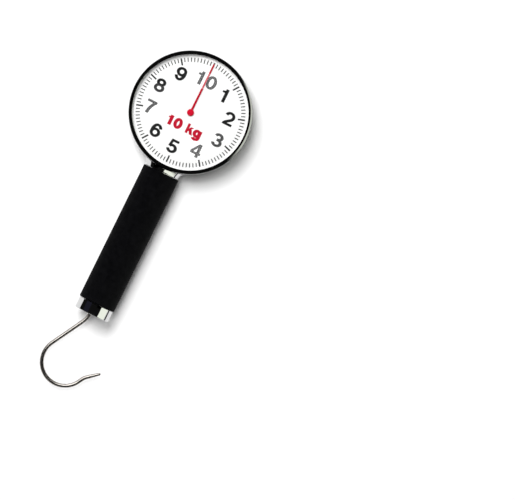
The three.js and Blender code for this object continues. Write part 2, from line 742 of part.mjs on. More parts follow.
addPiece('neck_collar', makeNeckCollar(), chrome);
[-1, 1].forEach((side, i) => {
  addPiece(`collar_screw_${i + 1}`, makeCollarScrew().translate([side * COLLAR_SCREW_X, 0, 0]), steel);
});
addPiece('handle_tube', makeHandleTube(), steel);
addPiece('foam_grip', makeFoamGrip(), blackFoam);
addPiece('end_cap', makeEndCap(), chrome);
addPiece('end_bush', makeEndBush(), nylon);

// ---- draw rod, spring and hook ------------------------------------------------------------------

// The cross pin that holds the hook's shank in the rod, or the hole for it.
function pinHole(radius, halfLength) {
  const low = AXIS_Z - halfLength;
  const high = AXIS_Z + halfLength;
  return diskOnZ(radius, low, high, ROUND_SMALL).translate([HOOK_SHANK_X, HOOK_PIN_Y, 0]);
}

// A rod with a thick lower end that runs in the bush, and a block at the top on the rack's foot.
function makeDrawRod() {
  const blockHalf = 3.0;
  const edge = 0.3;
  const shoulder = 1.2;
  const rootY = ROD_TOP_Y + 0.5;
  const rod = turnedOnHandle([
    [0, ROD_BOTTOM_Y],
    [ROD_END_R - edge, ROD_BOTTOM_Y],
    [ROD_END_R, ROD_BOTTOM_Y + edge],
    [ROD_END_R, ROD_STEP_Y],
    [ROD_R, ROD_STEP_Y + shoulder],
    [ROD_R, rootY],
    [0, rootY],
  ], ROUND_HANDLE);
  const block = box(
    [-blockHalf, ROD_TOP_Y, RACK_Z + RACK_THICK + GAP],
    [blockHalf, RACK_FOOT_Y, ROD_BLOCK_TOP],
  );
  const socketR = HOOK_WIRE_R + SEAT_GAP;
  const socket = rodOnHandle(socketR, ROD_BOTTOM_Y - OVERCUT, HOOK_SHANK_TOP_Y + GAP, ROUND_SMALL);
  const bored = rod.add(block)
    .subtract(socket.translate([HOOK_SHANK_X, 0, 0]))
    .subtract(pinHole(HOOK_PIN_R + SEAT_GAP, ROD_END_R + OVERCUT));
  return drillOnZ(bored, rackRivetPlaces, SMALL_SCREW_R + GAP, 0, AXIS_Z + ROD_R + OVERCUT);
}

// A rivet with a low head above the block and another below the rack's foot.
function makeRackRivet() {
  const top = ROD_BLOCK_TOP + SEAT_GAP;
  const bottom = RACK_Z - SEAT_GAP;
  const headR = SMALL_SCREW_HEAD_R - 0.1;
  const headThick = 0.6;
  return turnedOnZ([
    [0, bottom - headThick],
    [headR, bottom - headThick],
    [headR, bottom],
    [SMALL_SCREW_R, bottom],
    [SMALL_SCREW_R, top],
    [headR, top],
    [headR, top + headThick],
    [0, top + headThick],
  ], ROUND_SMALL);
}

function makeSpringWasher() {
  return turnedOnHandle([
    [ROD_R + GAP, WASHER_TOP_Y - WASHER_THICK],
    [WASHER_R, WASHER_TOP_Y - WASHER_THICK],
    [WASHER_R, WASHER_TOP_Y],
    [ROD_R + GAP, WASHER_TOP_Y],
  ], ROUND_HANDLE);
}

function makeCalibrationNut() {
  const bottom = NUT_TOP_Y - NUT_THICK;
  const hexagon = rodOnHandle(NUT_CORNER_R, bottom, NUT_TOP_Y, 6);
  return hexagon.subtract(rodOnHandle(ROD_R + GAP, bottom - OVERCUT, NUT_TOP_Y + OVERCUT, ROUND_SMALL));
}

// The coil's middle line: an end turn that lies almost flat, the working turns, another end turn.
class SpringLine extends THREE.Curve {
  constructor(low, high) {
    super();
    this.low = low;
    this.rise = high - low;
    this.turns = SPRING_ACTIVE_TURNS + 2 * SPRING_END_TURNS;
    this.endRise = SPRING_END_TURNS * SPRING_END_PITCH;
  }

  getPoint(share) {
    const turn = share * this.turns;
    const workingPitch = (this.rise - 2 * this.endRise) / SPRING_ACTIVE_TURNS;
    const inEnds = Math.min(turn, SPRING_END_TURNS)
      + Math.max(0, turn - SPRING_END_TURNS - SPRING_ACTIVE_TURNS);
    const working = turn - inEnds;
    const y = this.low + inEnds * SPRING_END_PITCH + working * workingPitch;
    const angle = 2 * Math.PI * turn;
    return new THREE.Vector3(
      SPRING_COIL_R * Math.cos(angle),
      y,
      AXIS_Z + SPRING_COIL_R * Math.sin(angle),
    );
  }
}

function wireSection(radius, sides) {
  const section = new THREE.Shape();
  for (let i = 0; i < sides; i += 1) {
    const angle = 2 * Math.PI * i / sides;
    if (i === 0) section.moveTo(radius, 0);
    else section.lineTo(radius * Math.cos(angle), radius * Math.sin(angle));
  }
  return section;
}

function wire(radius, sides, line, steps) {
  const options = { steps, extrudePath: line, bevelEnabled: false };
  return solid(new THREE.ExtrudeGeometry(wireSection(radius, sides), options));
}

function makeMainSpring() {
  const low = BUSH_TOP_Y + GAP + SPRING_WIRE_R;
  const high = WASHER_TOP_Y - WASHER_THICK - GAP - SPRING_WIRE_R;
  const line = new SpringLine(low, high);
  return wire(SPRING_WIRE_R, SPRING_SIDES, line, Math.round(line.turns * SPRING_STEPS_PER_TURN));
}

// Walks along a bent wire in the plane of the dial: where it is, and which way it heads.
class WireWalk {
  constructor(x, y, heading) {
    this.path = new THREE.Path();
    this.path.moveTo(x, y);
    this.x = x;
    this.y = y;
    this.heading = heading;
  }

  straight(length) {
    this.x += length * Math.cos(this.heading);
    this.y += length * Math.sin(this.heading);
    this.path.lineTo(this.x, this.y);
    return this;
  }

  // A bend to the left for a positive angle and to the right for a negative one.
  bend(radius, angle) {
    const side = Math.sign(angle);
    const start = this.heading - side * Math.PI / 2;
    const centreX = this.x - radius * Math.cos(start);
    const centreY = this.y - radius * Math.sin(start);
    this.path.absarc(centreX, centreY, radius, start, start + angle, side < 0);
    this.x = centreX + radius * Math.cos(start + angle);
    this.y = centreY + radius * Math.sin(start + angle);
    this.heading += angle;
    return this;
  }
}

class FlatLine extends THREE.Curve {
  constructor(path) {
    super();
    this.path = path;
  }

  getPoint(share) {
    const { x, y } = this.path.getPointAt(share);
    return new THREE.Vector3(x, y, AXIS_Z);
  }
}

// A round wire: shank, a slanting leg, the round bend, and a tip that leans outwards and tapers.
function makeHook() {
  const down = -Math.PI / 2;
  const up = Math.PI / 2;
  const walk = new WireWalk(HOOK_SHANK_X, HOOK_SHANK_TOP_Y, down);
  walk.straight(HOOK_SHANK_TOP_Y - HOOK_LEG_BEND_Y);
  walk.bend(HOOK_LEG_BEND_R, -HOOK_LEG_LEAN);
  const bendStartY = HOOK_BEND_BOTTOM_Y + HOOK_BEND_R * (1 + Math.sin(HOOK_LEG_LEAN));
  walk.straight((walk.y - bendStartY) / Math.cos(HOOK_LEG_LEAN));
  walk.bend(HOOK_BEND_R, up - HOOK_THROAT_LEAN - walk.heading);
  walk.straight(HOOK_THROAT_STRAIGHT);
  walk.bend(HOOK_TIP_BEND_R, HOOK_THROAT_LEAN - HOOK_TIP_LEAN);
  walk.straight(HOOK_TIP_LENGTH);
  const steps = Math.round(walk.path.getLength() / HOOK_STEP);
  const bar = wire(HOOK_WIRE_R, HOOK_SIDES, new FlatLine(walk.path), steps);
  const overlap = 0.4;
  const taper = solid(new THREE.LatheGeometry(pointsOf([
    [0, -overlap],
    [0.98 * HOOK_WIRE_R, -overlap],
    [0.98 * HOOK_WIRE_R, 0],
    [HOOK_END_R, HOOK_TAPER_LENGTH],
    [0.5 * HOOK_END_R, HOOK_TAPER_LENGTH + 0.85 * HOOK_END_ROUND],
    [0, HOOK_TAPER_LENGTH + HOOK_END_ROUND],
  ]), HOOK_SIDES).rotateZ(walk.heading - up).translate(walk.x, walk.y, AXIS_Z));
  return bar.add(taper).subtract(pinHole(HOOK_PIN_R + SEAT_GAP, ROD_END_R));
}

addPiece('draw_rod', makeDrawRod(), steel);
addPiece('rack', makeRack(), brass);
rackRivetPlaces.forEach(([x, y], i) => {
  addPiece(`rack_rivet_${i + 1}`, makeRackRivet().translate([x, y, 0]), steel);
});
addPiece('calibration_nut', makeCalibrationNut(), brass);
addPiece('spring_washer', makeSpringWasher(), steel);
addPiece('main_spring', makeMainSpring(), springSteel);
addPiece('hook', makeHook(), steel);
addPiece('hook_pin', pinHole(HOOK_PIN_R, ROD_END_R - GAP), steel);

export default group;
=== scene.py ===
"""A dial fish scale lying on its back on a white table, seen from above.

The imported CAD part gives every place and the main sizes. Shapes are written in millimetres and
turned into metres as each mesh is made; the camera, lights and table are in metres.
"""

import math

import bmesh
import bpy
from mathutils import Matrix, Vector
from mathutils.geometry import delaunay_2d_cdt


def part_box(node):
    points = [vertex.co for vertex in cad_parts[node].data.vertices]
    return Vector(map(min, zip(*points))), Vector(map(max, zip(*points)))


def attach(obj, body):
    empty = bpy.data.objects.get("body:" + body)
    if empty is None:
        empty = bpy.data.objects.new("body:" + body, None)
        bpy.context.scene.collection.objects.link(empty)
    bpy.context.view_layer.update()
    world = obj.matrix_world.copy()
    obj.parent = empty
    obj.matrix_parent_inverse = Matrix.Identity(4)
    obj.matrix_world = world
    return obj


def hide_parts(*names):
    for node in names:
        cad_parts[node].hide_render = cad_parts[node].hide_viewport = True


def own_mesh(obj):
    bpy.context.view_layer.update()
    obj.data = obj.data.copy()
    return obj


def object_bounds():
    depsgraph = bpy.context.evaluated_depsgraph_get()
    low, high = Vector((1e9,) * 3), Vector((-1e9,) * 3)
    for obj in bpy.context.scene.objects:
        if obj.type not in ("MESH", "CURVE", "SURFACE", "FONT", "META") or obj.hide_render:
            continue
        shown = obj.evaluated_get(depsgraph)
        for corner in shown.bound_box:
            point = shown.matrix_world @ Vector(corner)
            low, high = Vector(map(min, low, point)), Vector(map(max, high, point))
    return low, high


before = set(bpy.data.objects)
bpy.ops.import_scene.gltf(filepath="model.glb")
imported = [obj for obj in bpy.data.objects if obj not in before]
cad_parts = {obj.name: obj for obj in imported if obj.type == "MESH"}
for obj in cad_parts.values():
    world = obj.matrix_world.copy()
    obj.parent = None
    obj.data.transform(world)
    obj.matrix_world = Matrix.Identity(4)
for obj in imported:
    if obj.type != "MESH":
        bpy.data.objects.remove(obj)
cad_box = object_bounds()

MM = 0.001


# ---- places from the frame, in millimetres -------------------------------------------------------

def extent(node):
    """The lowest and the highest corner of a CAD node."""
    low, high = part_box(node)
    return low / MM, high / MM


BEZEL_LOW, BEZEL_HIGH = extent("bezel")
CAN_LOW, CAN_HIGH = extent("head_can")
LENS_LOW, LENS_HIGH = extent("lens")
DIAL_LOW, DIAL_HIGH = extent("dial_plate")
SPACER_LOW, SPACER_HIGH = extent("dial_spacer")
COVER_HIGH = extent("back_cover")[1]
GRIP_LOW, GRIP_HIGH = extent("foam_grip")
CAP_LOW, CAP_HIGH = extent("end_cap")
COLLAR_LOW, COLLAR_HIGH = extent("neck_collar")
TUBE_LOW, TUBE_HIGH = extent("handle_tube")
ROD_LOW, ROD_HIGH = extent("draw_rod")
RACK_HIGH = extent("rack")[1]
SPRING_LOW, SPRING_HIGH = extent("main_spring")
PIN_LOW, PIN_HIGH = extent("hook_pin")
POINTER_LOW, POINTER_HIGH = extent("pointer")
HUB_LOW, HUB_HIGH = extent("hub_cap")
AXIS_Z = (TUBE_LOW.z + TUBE_HIGH.z) / 2


# ---- mesh code -----------------------------------------------------------------------------------

ROUND_LARGE = 288
ROUND_HANDLE = 160
ROUND_SMALL = 48
SHARP_ANGLE = math.radians(32)


def shade(mesh):
    for face in mesh.polygons:
        face.use_smooth = True
    mesh.set_sharp_from_angle(angle=SHARP_ANGLE)


def add_object(name, verts, faces):
    """A mesh object in metres from points in millimetres, its faces pointing out."""
    mesh = bpy.data.meshes.new(name)
    mesh.from_pydata([Vector(v) * MM for v in verts], [], faces)
    work = bmesh.new()
    work.from_mesh(mesh)
    bmesh.ops.remove_doubles(work, verts=work.verts, dist=1e-7)
    bmesh.ops.recalc_face_normals(work, faces=work.faces)
    work.to_mesh(mesh)
    work.free()
    shade(mesh)
    made = bpy.data.objects.new(name, mesh)
    bpy.context.scene.collection.objects.link(made)
    return made


def place(piece, material, body, stands_for=()):
    """Gives a piece its material, its body and the CAD nodes it shows."""
    piece.data.materials.clear()
    piece.data.materials.append(material)
    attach(piece, body)
    if stands_for:
        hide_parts(*stands_for)


def filleted(corners, steps=7):
    """An outline from corners (x, y, fillet radius), each fillet an arc. It is a closed loop."""
    outline = []
    count = len(corners)
    for i, (x, y, radius) in enumerate(corners):
        here = Vector((x, y))
        if radius <= 0:
            outline.append((x, y))
            continue
        before = (Vector(corners[i - 1][:2]) - here).normalized()
        after = (Vector(corners[(i + 1) % count][:2]) - here).normalized()
        half = before.angle(after) / 2
        centre = here + (before + after).normalized() * (radius / math.sin(half))
        start = here + before * (radius / math.tan(half)) - centre
        end = here + after * (radius / math.tan(half)) - centre
        for step in range(steps + 1):
            turned = start.slerp(end, step / steps)
            outline.append(tuple(centre + turned.normalized() * radius))
    return outline


def arc(centre, radii, start, end, steps=24):
    """Points along part of an ellipse, its angles in degrees from +X."""
    points = []
    for step in range(steps + 1):
        angle = math.radians(start + (end - start) * step / steps)
        points.append((centre[0] + radii[0] * math.cos(angle), centre[1] + radii[1] * math.sin(angle)))
    return points


def turned(name, outline, about, segments):
    """A solid of revolution. The outline is (radius, along); about is "pointer" or "handle"."""
    verts = []
    rings = []
    for radius, along in outline:
        on_axis = radius < 1e-6
        ring = []
        for k in range(1 if on_axis else segments):
            angle = 2 * math.pi * k / segments
            x, y = radius * math.cos(angle), radius * math.sin(angle)
            ring.append(len(verts))
            verts.append((x, y, along) if about == "pointer" else (x, along, AXIS_Z + y))
        rings.append(ring)
    faces = []
    for i, ring in enumerate(rings):
        other = rings[(i + 1) % len(rings)]
        for k in range(segments):
            corners = [
                ring[k % len(ring)],
                ring[(k + 1) % len(ring)],
                other[(k + 1) % len(other)],
                other[k % len(other)],
            ]
            unique = list(dict.fromkeys(corners))
            if len(unique) > 2:
                faces.append(unique)
    return add_object(name, verts, faces)


def drill(name, radius, start, end, about, segments=ROUND_SMALL):
    """A plain rod from start to end, used as a tool to cut a hole."""
    return turned(name, [(0, start), (radius, start), (radius, end), (0, end)], about, segments)


def tube(name, path, radii, sides):
    """A round bar along a path of points, with a radius at each, closed at both ends."""
    points = [Vector(p) for p in path]
    last = len(points) - 1
    verts = []
    faces = []
    side = None
    tangent_before = None
    for i, point in enumerate(points):
        tangent = (points[min(i + 1, last)] - points[max(i - 1, 0)]).normalized()
        if side is None:
            side = tangent.orthogonal().normalized()
        else:
            side = tangent_before.rotation_difference(tangent) @ side
        tangent_before = tangent
        up = tangent.cross(side)
        for k in range(sides):
            angle = 2 * math.pi * k / sides
            verts.append(point + (side * math.cos(angle) + up * math.sin(angle)) * radii[i])
    for i in range(last):
        for k in range(sides):
            a, b = i * sides + k, i * sides + (k + 1) % sides
            faces.append((a, b, b + sides, a + sides))
    for ring_start, point in ((0, points[0]), (last * sides, points[-1])):
        middle = len(verts)
        verts.append(point)
        for k in range(sides):
            faces.append((ring_start + k, ring_start + (k + 1) % sides, middle))
    return add_object(name, verts, faces)


def prism(name, polygons, low, high):
    """A flat solid from polygons in X and Y, which may overlap: they are joined into one."""
    points = []
    loops = []
    for polygon in polygons:
        area = sum(
            a[0] * b[1] - b[0] * a[1] for a, b in zip(polygon, polygon[1:] + polygon[:1])
        )
        ordered = polygon if area > 0 else polygon[::-1]
        loops.append(list(range(len(points), len(points) + len(ordered))))
        points += [Vector(p) for p in ordered]
    flat, _, triangles, _, _, sources = delaunay_2d_cdt(points, [], loops, 1, 1e-5)
    covered = [tuple(t) for t, source in zip(triangles, sources) if source]
    edges = {(t[k], t[(k + 1) % len(t)]) for t in covered for k in range(len(t))}
    count = len(flat)
    verts = [(p.x, p.y, low) for p in flat] + [(p.x, p.y, high) for p in flat]
    faces = [tuple(v + count for v in t) for t in covered]
    faces += [tuple(reversed(t)) for t in covered]
    faces += [(a, b, b + count, a + count) for a, b in edges if (b, a) not in edges]
    made = add_object(name, verts, faces)
    work = bmesh.new()
    work.from_mesh(made.data)
    loose = [v for v in work.verts if not v.link_faces]
    bmesh.ops.delete(work, geom=loose, context="VERTS")
    bmesh.ops.dissolve_limit(
        work, angle_limit=math.radians(1), verts=work.verts, edges=work.edges
    )
    work.to_mesh(made.data)
    work.free()
    shade(made.data)
    return made


def block(name, low, high):
    xs, ys, zs = zip(low, high)
    verts = [(x, y, z) for z in zs for y in ys for x in xs]
    faces = [(0, 1, 3, 2), (4, 5, 7, 6), (0, 1, 5, 4), (2, 3, 7, 6), (0, 2, 6, 4), (1, 3, 7, 5)]
    return add_object(name, verts, faces)


def shifted(piece, offset):
    """Moves a mesh inside its object, by millimetres."""
    piece.data.transform(Matrix.Translation(Vector(offset) * MM))
    return piece


def baked(piece):
    """Turns the modifiers of a piece into its mesh."""
    depsgraph = bpy.context.evaluated_depsgraph_get()
    made = bpy.data.meshes.new_from_object(piece.evaluated_get(depsgraph))
    piece.modifiers.clear()
    piece.data = made
    return piece


def combined(piece, tools, operation):
    """Cuts tools from a piece, or joins them to it, and removes the tools."""
    for tool in tools:
        step = piece.modifiers.new(operation.lower(), "BOOLEAN")
        step.object = tool
        step.operation = operation
        step.solver = "EXACT"
    baked(piece)
    for tool in tools:
        bpy.data.objects.remove(tool)
    shade(piece.data)
    return piece


def carved(piece, *tools):
    return combined(piece, tools, "DIFFERENCE")


def joined(piece, *tools):
    return combined(piece, tools, "UNION")


# ---- materials -----------------------------------------------------------------------------------

# most of a noise texture's values lie between these
NOISE_LOW = 0.3
NOISE_HIGH = 0.7


class Look:
    """A Principled material with short ways to vary it over the surface, in object space."""

    def __init__(self, name, color, roughness, metallic=0.0, **sockets):
        self.material = bpy.data.materials.new(name)
        self.material.use_nodes = True
        tree = self.material.node_tree
        self.nodes = tree.nodes
        self.links = tree.links
        self.shader = self.nodes["Principled BSDF"]
        self.shader.inputs["Base Color"].default_value = (*color, 1)
        self.shader.inputs["Roughness"].default_value = roughness
        self.shader.inputs["Metallic"].default_value = metallic
        for socket, value in sockets.items():
            self.shader.inputs[socket.replace("_", " ")].default_value = value
        self.place = self.nodes.new("ShaderNodeTexCoord").outputs["Object"]

    def noise(self, scale, detail=3.0):
        """Noise with that many features to the metre."""
        texture = self.nodes.new("ShaderNodeTexNoise")
        texture.inputs["Scale"].default_value = scale
        texture.inputs["Detail"].default_value = detail
        self.links.new(self.place, texture.inputs["Vector"])
        return texture.outputs["Fac"]

    def cells(self, scale):
        """The distance to the nearest cell middle, with that many cells to the metre."""
        texture = self.nodes.new("ShaderNodeTexVoronoi")
        texture.inputs["Scale"].default_value = scale
        self.links.new(self.place, texture.inputs["Vector"])
        return texture.outputs["Distance"]

    def vary_roughness(self, value, low, high):
        node = self.nodes.new("ShaderNodeMapRange")
        node.inputs["From Min"].default_value = NOISE_LOW
        node.inputs["From Max"].default_value = NOISE_HIGH
        node.inputs["To Min"].default_value = low
        node.inputs["To Max"].default_value = high
        self.links.new(value, node.inputs["Value"])
        self.links.new(node.outputs["Result"], self.shader.inputs["Roughness"])
        return self

    def vary_color(self, value, first, second):
        ramp = self.nodes.new("ShaderNodeValToRGB")
        ramp.color_ramp.elements[0].position = NOISE_LOW
        ramp.color_ramp.elements[1].position = NOISE_HIGH
        ramp.color_ramp.elements[0].color = (*first, 1)
        ramp.color_ramp.elements[1].color = (*second, 1)
        self.links.new(value, ramp.inputs["Fac"])
        self.links.new(ramp.outputs["Color"], self.shader.inputs["Base Color"])
        return self

    def bump(self, value, height, strength=1.0):
        """Relief of that height in metres. Calls stack up."""
        node = self.nodes.new("ShaderNodeBump")
        node.inputs["Distance"].default_value = height
        node.inputs["Strength"].default_value = strength
        self.links.new(value, node.inputs["Height"])
        socket = self.shader.inputs["Normal"]
        if socket.is_linked:
            self.links.new(socket.links[0].from_socket, node.inputs["Normal"])
        self.links.new(node.outputs["Normal"], socket)
        return self


def make_chrome(name, level):
    """Polished plating that reflects about that share of the light, a little wavy."""
    darker, lighter = ((share * level,) * 3 for share in (0.97, 1.03))
    look = Look(name, lighter, 0.05, 1.0)
    look.vary_roughness(look.noise(160), 0.03, 0.075)
    look.vary_color(look.noise(35), darker, lighter)
    return look.bump(look.noise(70, 1.0), 6e-6).material


def make_lens():
    look = Look("clear_lens", (1, 1, 1), 0.02, IOR=1.49, Transmission_Weight=1.0)
    return look.vary_roughness(look.noise(120), 0.0, 0.03).material


def make_dial_white():
    look = Look("dial_white", (0.93, 0.93, 0.925), 0.4)
    look.vary_color(look.noise(90), (0.92, 0.92, 0.915), (0.94, 0.94, 0.935))
    look.vary_roughness(look.noise(300), 0.32, 0.45)
    return look.bump(look.noise(2500), 4e-6, 0.5).material


def make_ink(name, first, second):
    look = Look(name, first, 0.5)
    look.vary_color(look.noise(900), first, second)
    look.vary_roughness(look.noise(1500), 0.42, 0.6)
    return look.material


def make_red_plastic(name, color):
    look = Look(name, color, 0.4)
    look.vary_color(look.noise(400), tuple(0.9 * c for c in color), color)
    look.vary_roughness(look.noise(700), 0.3, 0.42)
    return look.material


def make_foam():
    look = Look("grip_foam", (0.0025, 0.0025, 0.003), 0.92, Specular_IOR_Level=0.1)
    look.vary_color(look.noise(260, 5.0), (0.0016, 0.0016, 0.002), (0.0035, 0.0035, 0.0042))
    look.vary_roughness(look.noise(500), 0.85, 0.97)
    look.bump(look.noise(110), 1.2e-4, 0.5)
    look.bump(look.cells(1900), 1.0e-4, 0.6)
    return look.bump(look.noise(5200, 2.0), 4e-5, 0.5).material


def make_steel(name, color, low, high):
    look = Look(name, color, (low + high) / 2, 1.0)
    look.vary_color(look.noise(220, 4.0), tuple(0.9 * c for c in color), color)
    look.vary_roughness(look.noise(600, 4.0), low, high)
    return look.bump(look.noise(2400), 3e-6, 0.6).material


def make_dull(name, color, roughness, relief):
    look = Look(name, color, roughness)
    look.vary_color(look.noise(350), tuple(0.88 * c for c in color), color)
    look.vary_roughness(look.noise(600), roughness - 0.06, roughness + 0.06)
    return look.bump(look.noise(1800), relief, 0.6).material


CHROME = make_chrome("chrome", 0.6)
BEZEL_CHROME = make_chrome("bezel_chrome", 0.36)
LENS = make_lens()
DIAL_WHITE = make_dial_white()
INK = make_ink("ink_black", (0.006, 0.006, 0.0065), (0.016, 0.016, 0.017))
RED_INK = make_ink("ink_red", (0.52, 0.003, 0.026), (0.46, 0.003, 0.022))
NEEDLE_RED = make_red_plastic("needle_red", (0.5, 0.001, 0.02))
HUB_RED = make_red_plastic("hub_red", (0.64, 0.001, 0.024))
FOAM = make_foam()
STEEL = make_steel("steel", (0.56, 0.56, 0.56), 0.18, 0.32)
HOOK_STEEL = make_steel("hook_steel", (0.47, 0.44, 0.41), 0.2, 0.32)
SPRING_STEEL = make_steel("spring_steel", (0.4, 0.4, 0.41), 0.22, 0.4)
BRASS = make_steel("brass", (0.72, 0.5, 0.2), 0.2, 0.36)
NYLON = make_dull("nylon", (0.78, 0.76, 0.68), 0.5, 1e-5)
RUBBER = make_dull("gasket_rubber", (0.018, 0.018, 0.02), 0.7, 2e-5)
SPACER_WHITE = make_dull("spacer_white", (0.85, 0.85, 0.84), 0.5, 6e-6)


# ---- the dial head -------------------------------------------------------------------------------

WINDOW_R = 43.9
CREST_R = 44.4
CROWN_R = 3.3
CROWN_END = 45.0
BEZEL_WALL = 0.7
CAN_WALL = 1.2
CAN_LEDGE_R = 38.0
CAN_DIAL_LEDGE_R = 43.3
NECK_SLOT = (7.2, 7.6, 17.4)
SCREW_HOLE_R = 1.2
CASE_SCREW_HOLE_R = 1.5
CASE_SCREW_SINK_R = 3.4
COLLAR_SCREW_X = 12.0
CASE_SCREW_CIRCLE_R = 41.2
SPACER_INNER_R = 44.0
DIAL_BORE_R = 2.0


def make_bezel():
    """The crowned ring: a sharp inner lip, a steep crown and a rolled hem on the case."""
    top, outer = BEZEL_HIGH.z, BEZEL_HIGH.x
    lip = LENS_HIGH.z + 0.3
    crown = arc((CREST_R, top - CROWN_R), (CROWN_R, CROWN_R), 90, 90 - CROWN_END, 20)
    shoulder_r = (outer - crown[-1][0]) / (1 - math.sin(math.radians(CROWN_END)))
    shoulder_z = crown[-1][1] - shoulder_r * math.cos(math.radians(CROWN_END))
    shoulder = arc((outer - shoulder_r, shoulder_z), (shoulder_r, shoulder_r), 90 - CROWN_END, 0, 10)
    lip_round = CREST_R - WINDOW_R
    inner = arc((CREST_R, top - lip_round), (lip_round, lip_round), 180, 90, 8)
    hem = 0.3
    hem_arc = arc((outer - hem, BEZEL_LOW.z + hem), (hem, hem), 0, -90, 6)
    outline = [(WINDOW_R, lip), *inner, *crown[1:], *shoulder[1:], *hem_arc]
    outline += [(outer - BEZEL_WALL, BEZEL_LOW.z), (outer - BEZEL_WALL, lip)]
    ring = turned("bezel_ring", outline, "pointer", ROUND_LARGE)
    place(ring, BEZEL_CHROME, "frame", ["bezel"])


def make_case():
    """The drawn case, with a ledge for the back cover, one for the dial and the neck's openings."""
    outer, top = CAN_HIGH.x, CAN_HIGH.z
    inner = outer - CAN_WALL
    cover_ledge = COVER_HIGH.z + 0.3
    ledge_top = cover_ledge + 1.6
    dial_ledge = DIAL_LOW.z - 0.3
    shell = turned("case_shell", filleted([
        (COVER_HIGH.x + 0.3, CAN_LOW.z, 0.15),
        (outer, CAN_LOW.z, 1.0),
        (outer, top, 0.2),
        (inner, top, 0.2),
        (inner, dial_ledge, 0),
        (CAN_DIAL_LEDGE_R, dial_ledge, 0.2),
        (CAN_DIAL_LEDGE_R, dial_ledge - 1.0, 0.2),
        (inner, dial_ledge - 1.0, 0),
        (inner, ledge_top, 0),
        (CAN_LEDGE_R, ledge_top, 0.3),
        (CAN_LEDGE_R, cover_ledge, 0.3),
        (COVER_HIGH.x + 0.3, cover_ledge, 0),
    ]), "pointer", ROUND_LARGE)
    half, low, high = NECK_SLOT
    outside, inside = -outer - 1, -outer + 6
    cutters = [block("neck_cut", (-half, outside, low), (half, inside, high))]
    for side in (-1, 1):
        hole = drill("hole", SCREW_HOLE_R, outside, inside, "handle")
        cutters.append(shifted(hole, (side * COLLAR_SCREW_X, 0, 0)))
    for x, y in case_screw_places():
        hole = drill("hole", CASE_SCREW_HOLE_R, cover_ledge - 1, ledge_top + 1, "pointer")
        cutters.append(shifted(hole, (x, y, 0)))
    place(carved(shell, *cutters), CHROME, "frame", ["head_can"])


def case_screw_places():
    angles = [math.pi / 4 + k * math.pi / 2 for k in range(4)]
    return [(CASE_SCREW_CIRCLE_R * math.cos(a), CASE_SCREW_CIRCLE_R * math.sin(a)) for a in angles]


def make_back():
    """The back cover with four countersunk cross-head screws."""
    thick = COVER_HIGH.z
    cover = turned("back_plate", filleted([
        (0, 0, 0), (COVER_HIGH.x, 0, 0.25), (COVER_HIGH.x, thick, 0.15), (0, thick, 0),
    ]), "pointer", ROUND_LARGE)
    cutters = []
    for x, y in case_screw_places():
        sink = turned("sink", [
            (0, -0.5),
            (CASE_SCREW_SINK_R, -0.5),
            (CASE_SCREW_HOLE_R, thick - 0.1),
            (CASE_SCREW_HOLE_R, thick + 1),
            (0, thick + 1),
        ], "pointer", ROUND_SMALL)
        cutters.append(shifted(sink, (x, y, 0)))
    place(carved(cover, *cutters), CHROME, "frame", ["back_cover"])
    for i, (x, y) in enumerate(case_screw_places()):
        low, high = extent(f"case_screw_{i + 1}")
        head_r = (high.x - low.x) / 2
        shank_r, head_z = 1.2, 1.3
        screw = turned(f"back_screw_{i + 1}", filleted([
            (0, low.z, 0),
            (head_r, low.z, 0.12),
            (shank_r, head_z, 0.2),
            (shank_r, high.z, 0.2),
            (0, high.z, 0),
        ], 5), "pointer", ROUND_SMALL)
        arm, half, deep = 1.4, 0.27, low.z + 0.8
        carved(
            screw,
            block("cross_cut", (-arm, -half, -1), (arm, half, deep)),
            block("cross_cut", (-half, -arm, -1), (half, arm, deep)),
        )
        shifted(screw, (x, y, 0))
        place(screw, STEEL, "frame", [f"case_screw_{i + 1}"])


def make_lens_piece():
    """A clear lens, a little domed on top."""
    radius, low, rim = LENS_HIGH.x, LENS_LOW.z, LENS_HIGH.z
    dome_r, dome_height = 42.5, 0.45
    steps = 24
    top = []
    for step in range(1, steps + 1):
        share = 1 - step / steps
        top.append((dome_r * share, rim + dome_height * (1 - share ** 2)))
    outline = filleted([(0, low, 0), (radius, low, 0.2), (radius, rim, 0.2), (dome_r, rim, 0)]) + top
    lens = turned("lens_dome", outline, "pointer", ROUND_LARGE)
    lens.visible_shadow = False
    lens.visible_diffuse = False
    place(lens, LENS, "frame", ["lens"])


def flat_ring(name, inner, outer, low, high, fillet):
    """A washer about the pointer's axis, with rounded edges."""
    return turned(name, filleted([
        (inner, low, fillet), (outer, low, fillet), (outer, high, fillet), (inner, high, fillet),
    ], 3), "pointer", ROUND_LARGE)


def make_spacer():
    spacer = flat_ring("dial_ring", SPACER_INNER_R, SPACER_HIGH.x, SPACER_LOW.z, SPACER_HIGH.z, 0.1)
    place(spacer, SPACER_WHITE, "frame", ["dial_spacer"])


def make_dial():
    dial = flat_ring("dial_face", DIAL_BORE_R, DIAL_HIGH.x, DIAL_LOW.z, DIAL_HIGH.z, 0.08)
    place(dial, DIAL_WHITE, "frame", ["dial_plate"])


# ---- printing on the dial ------------------------------------------------------------------------

PRINT_LOW = DIAL_HIGH.z - 0.02
PRINT_HIGH = DIAL_HIGH.z + 0.03
TICKS = 100
MAJOR_EVERY = 10
TICK_OUTER_R = 41.5
MINOR_INNER_R = 38.3
MAJOR_INNER_R = 36.1
MINOR_WIDTH = 0.72
MAJOR_WIDTH = 1.18
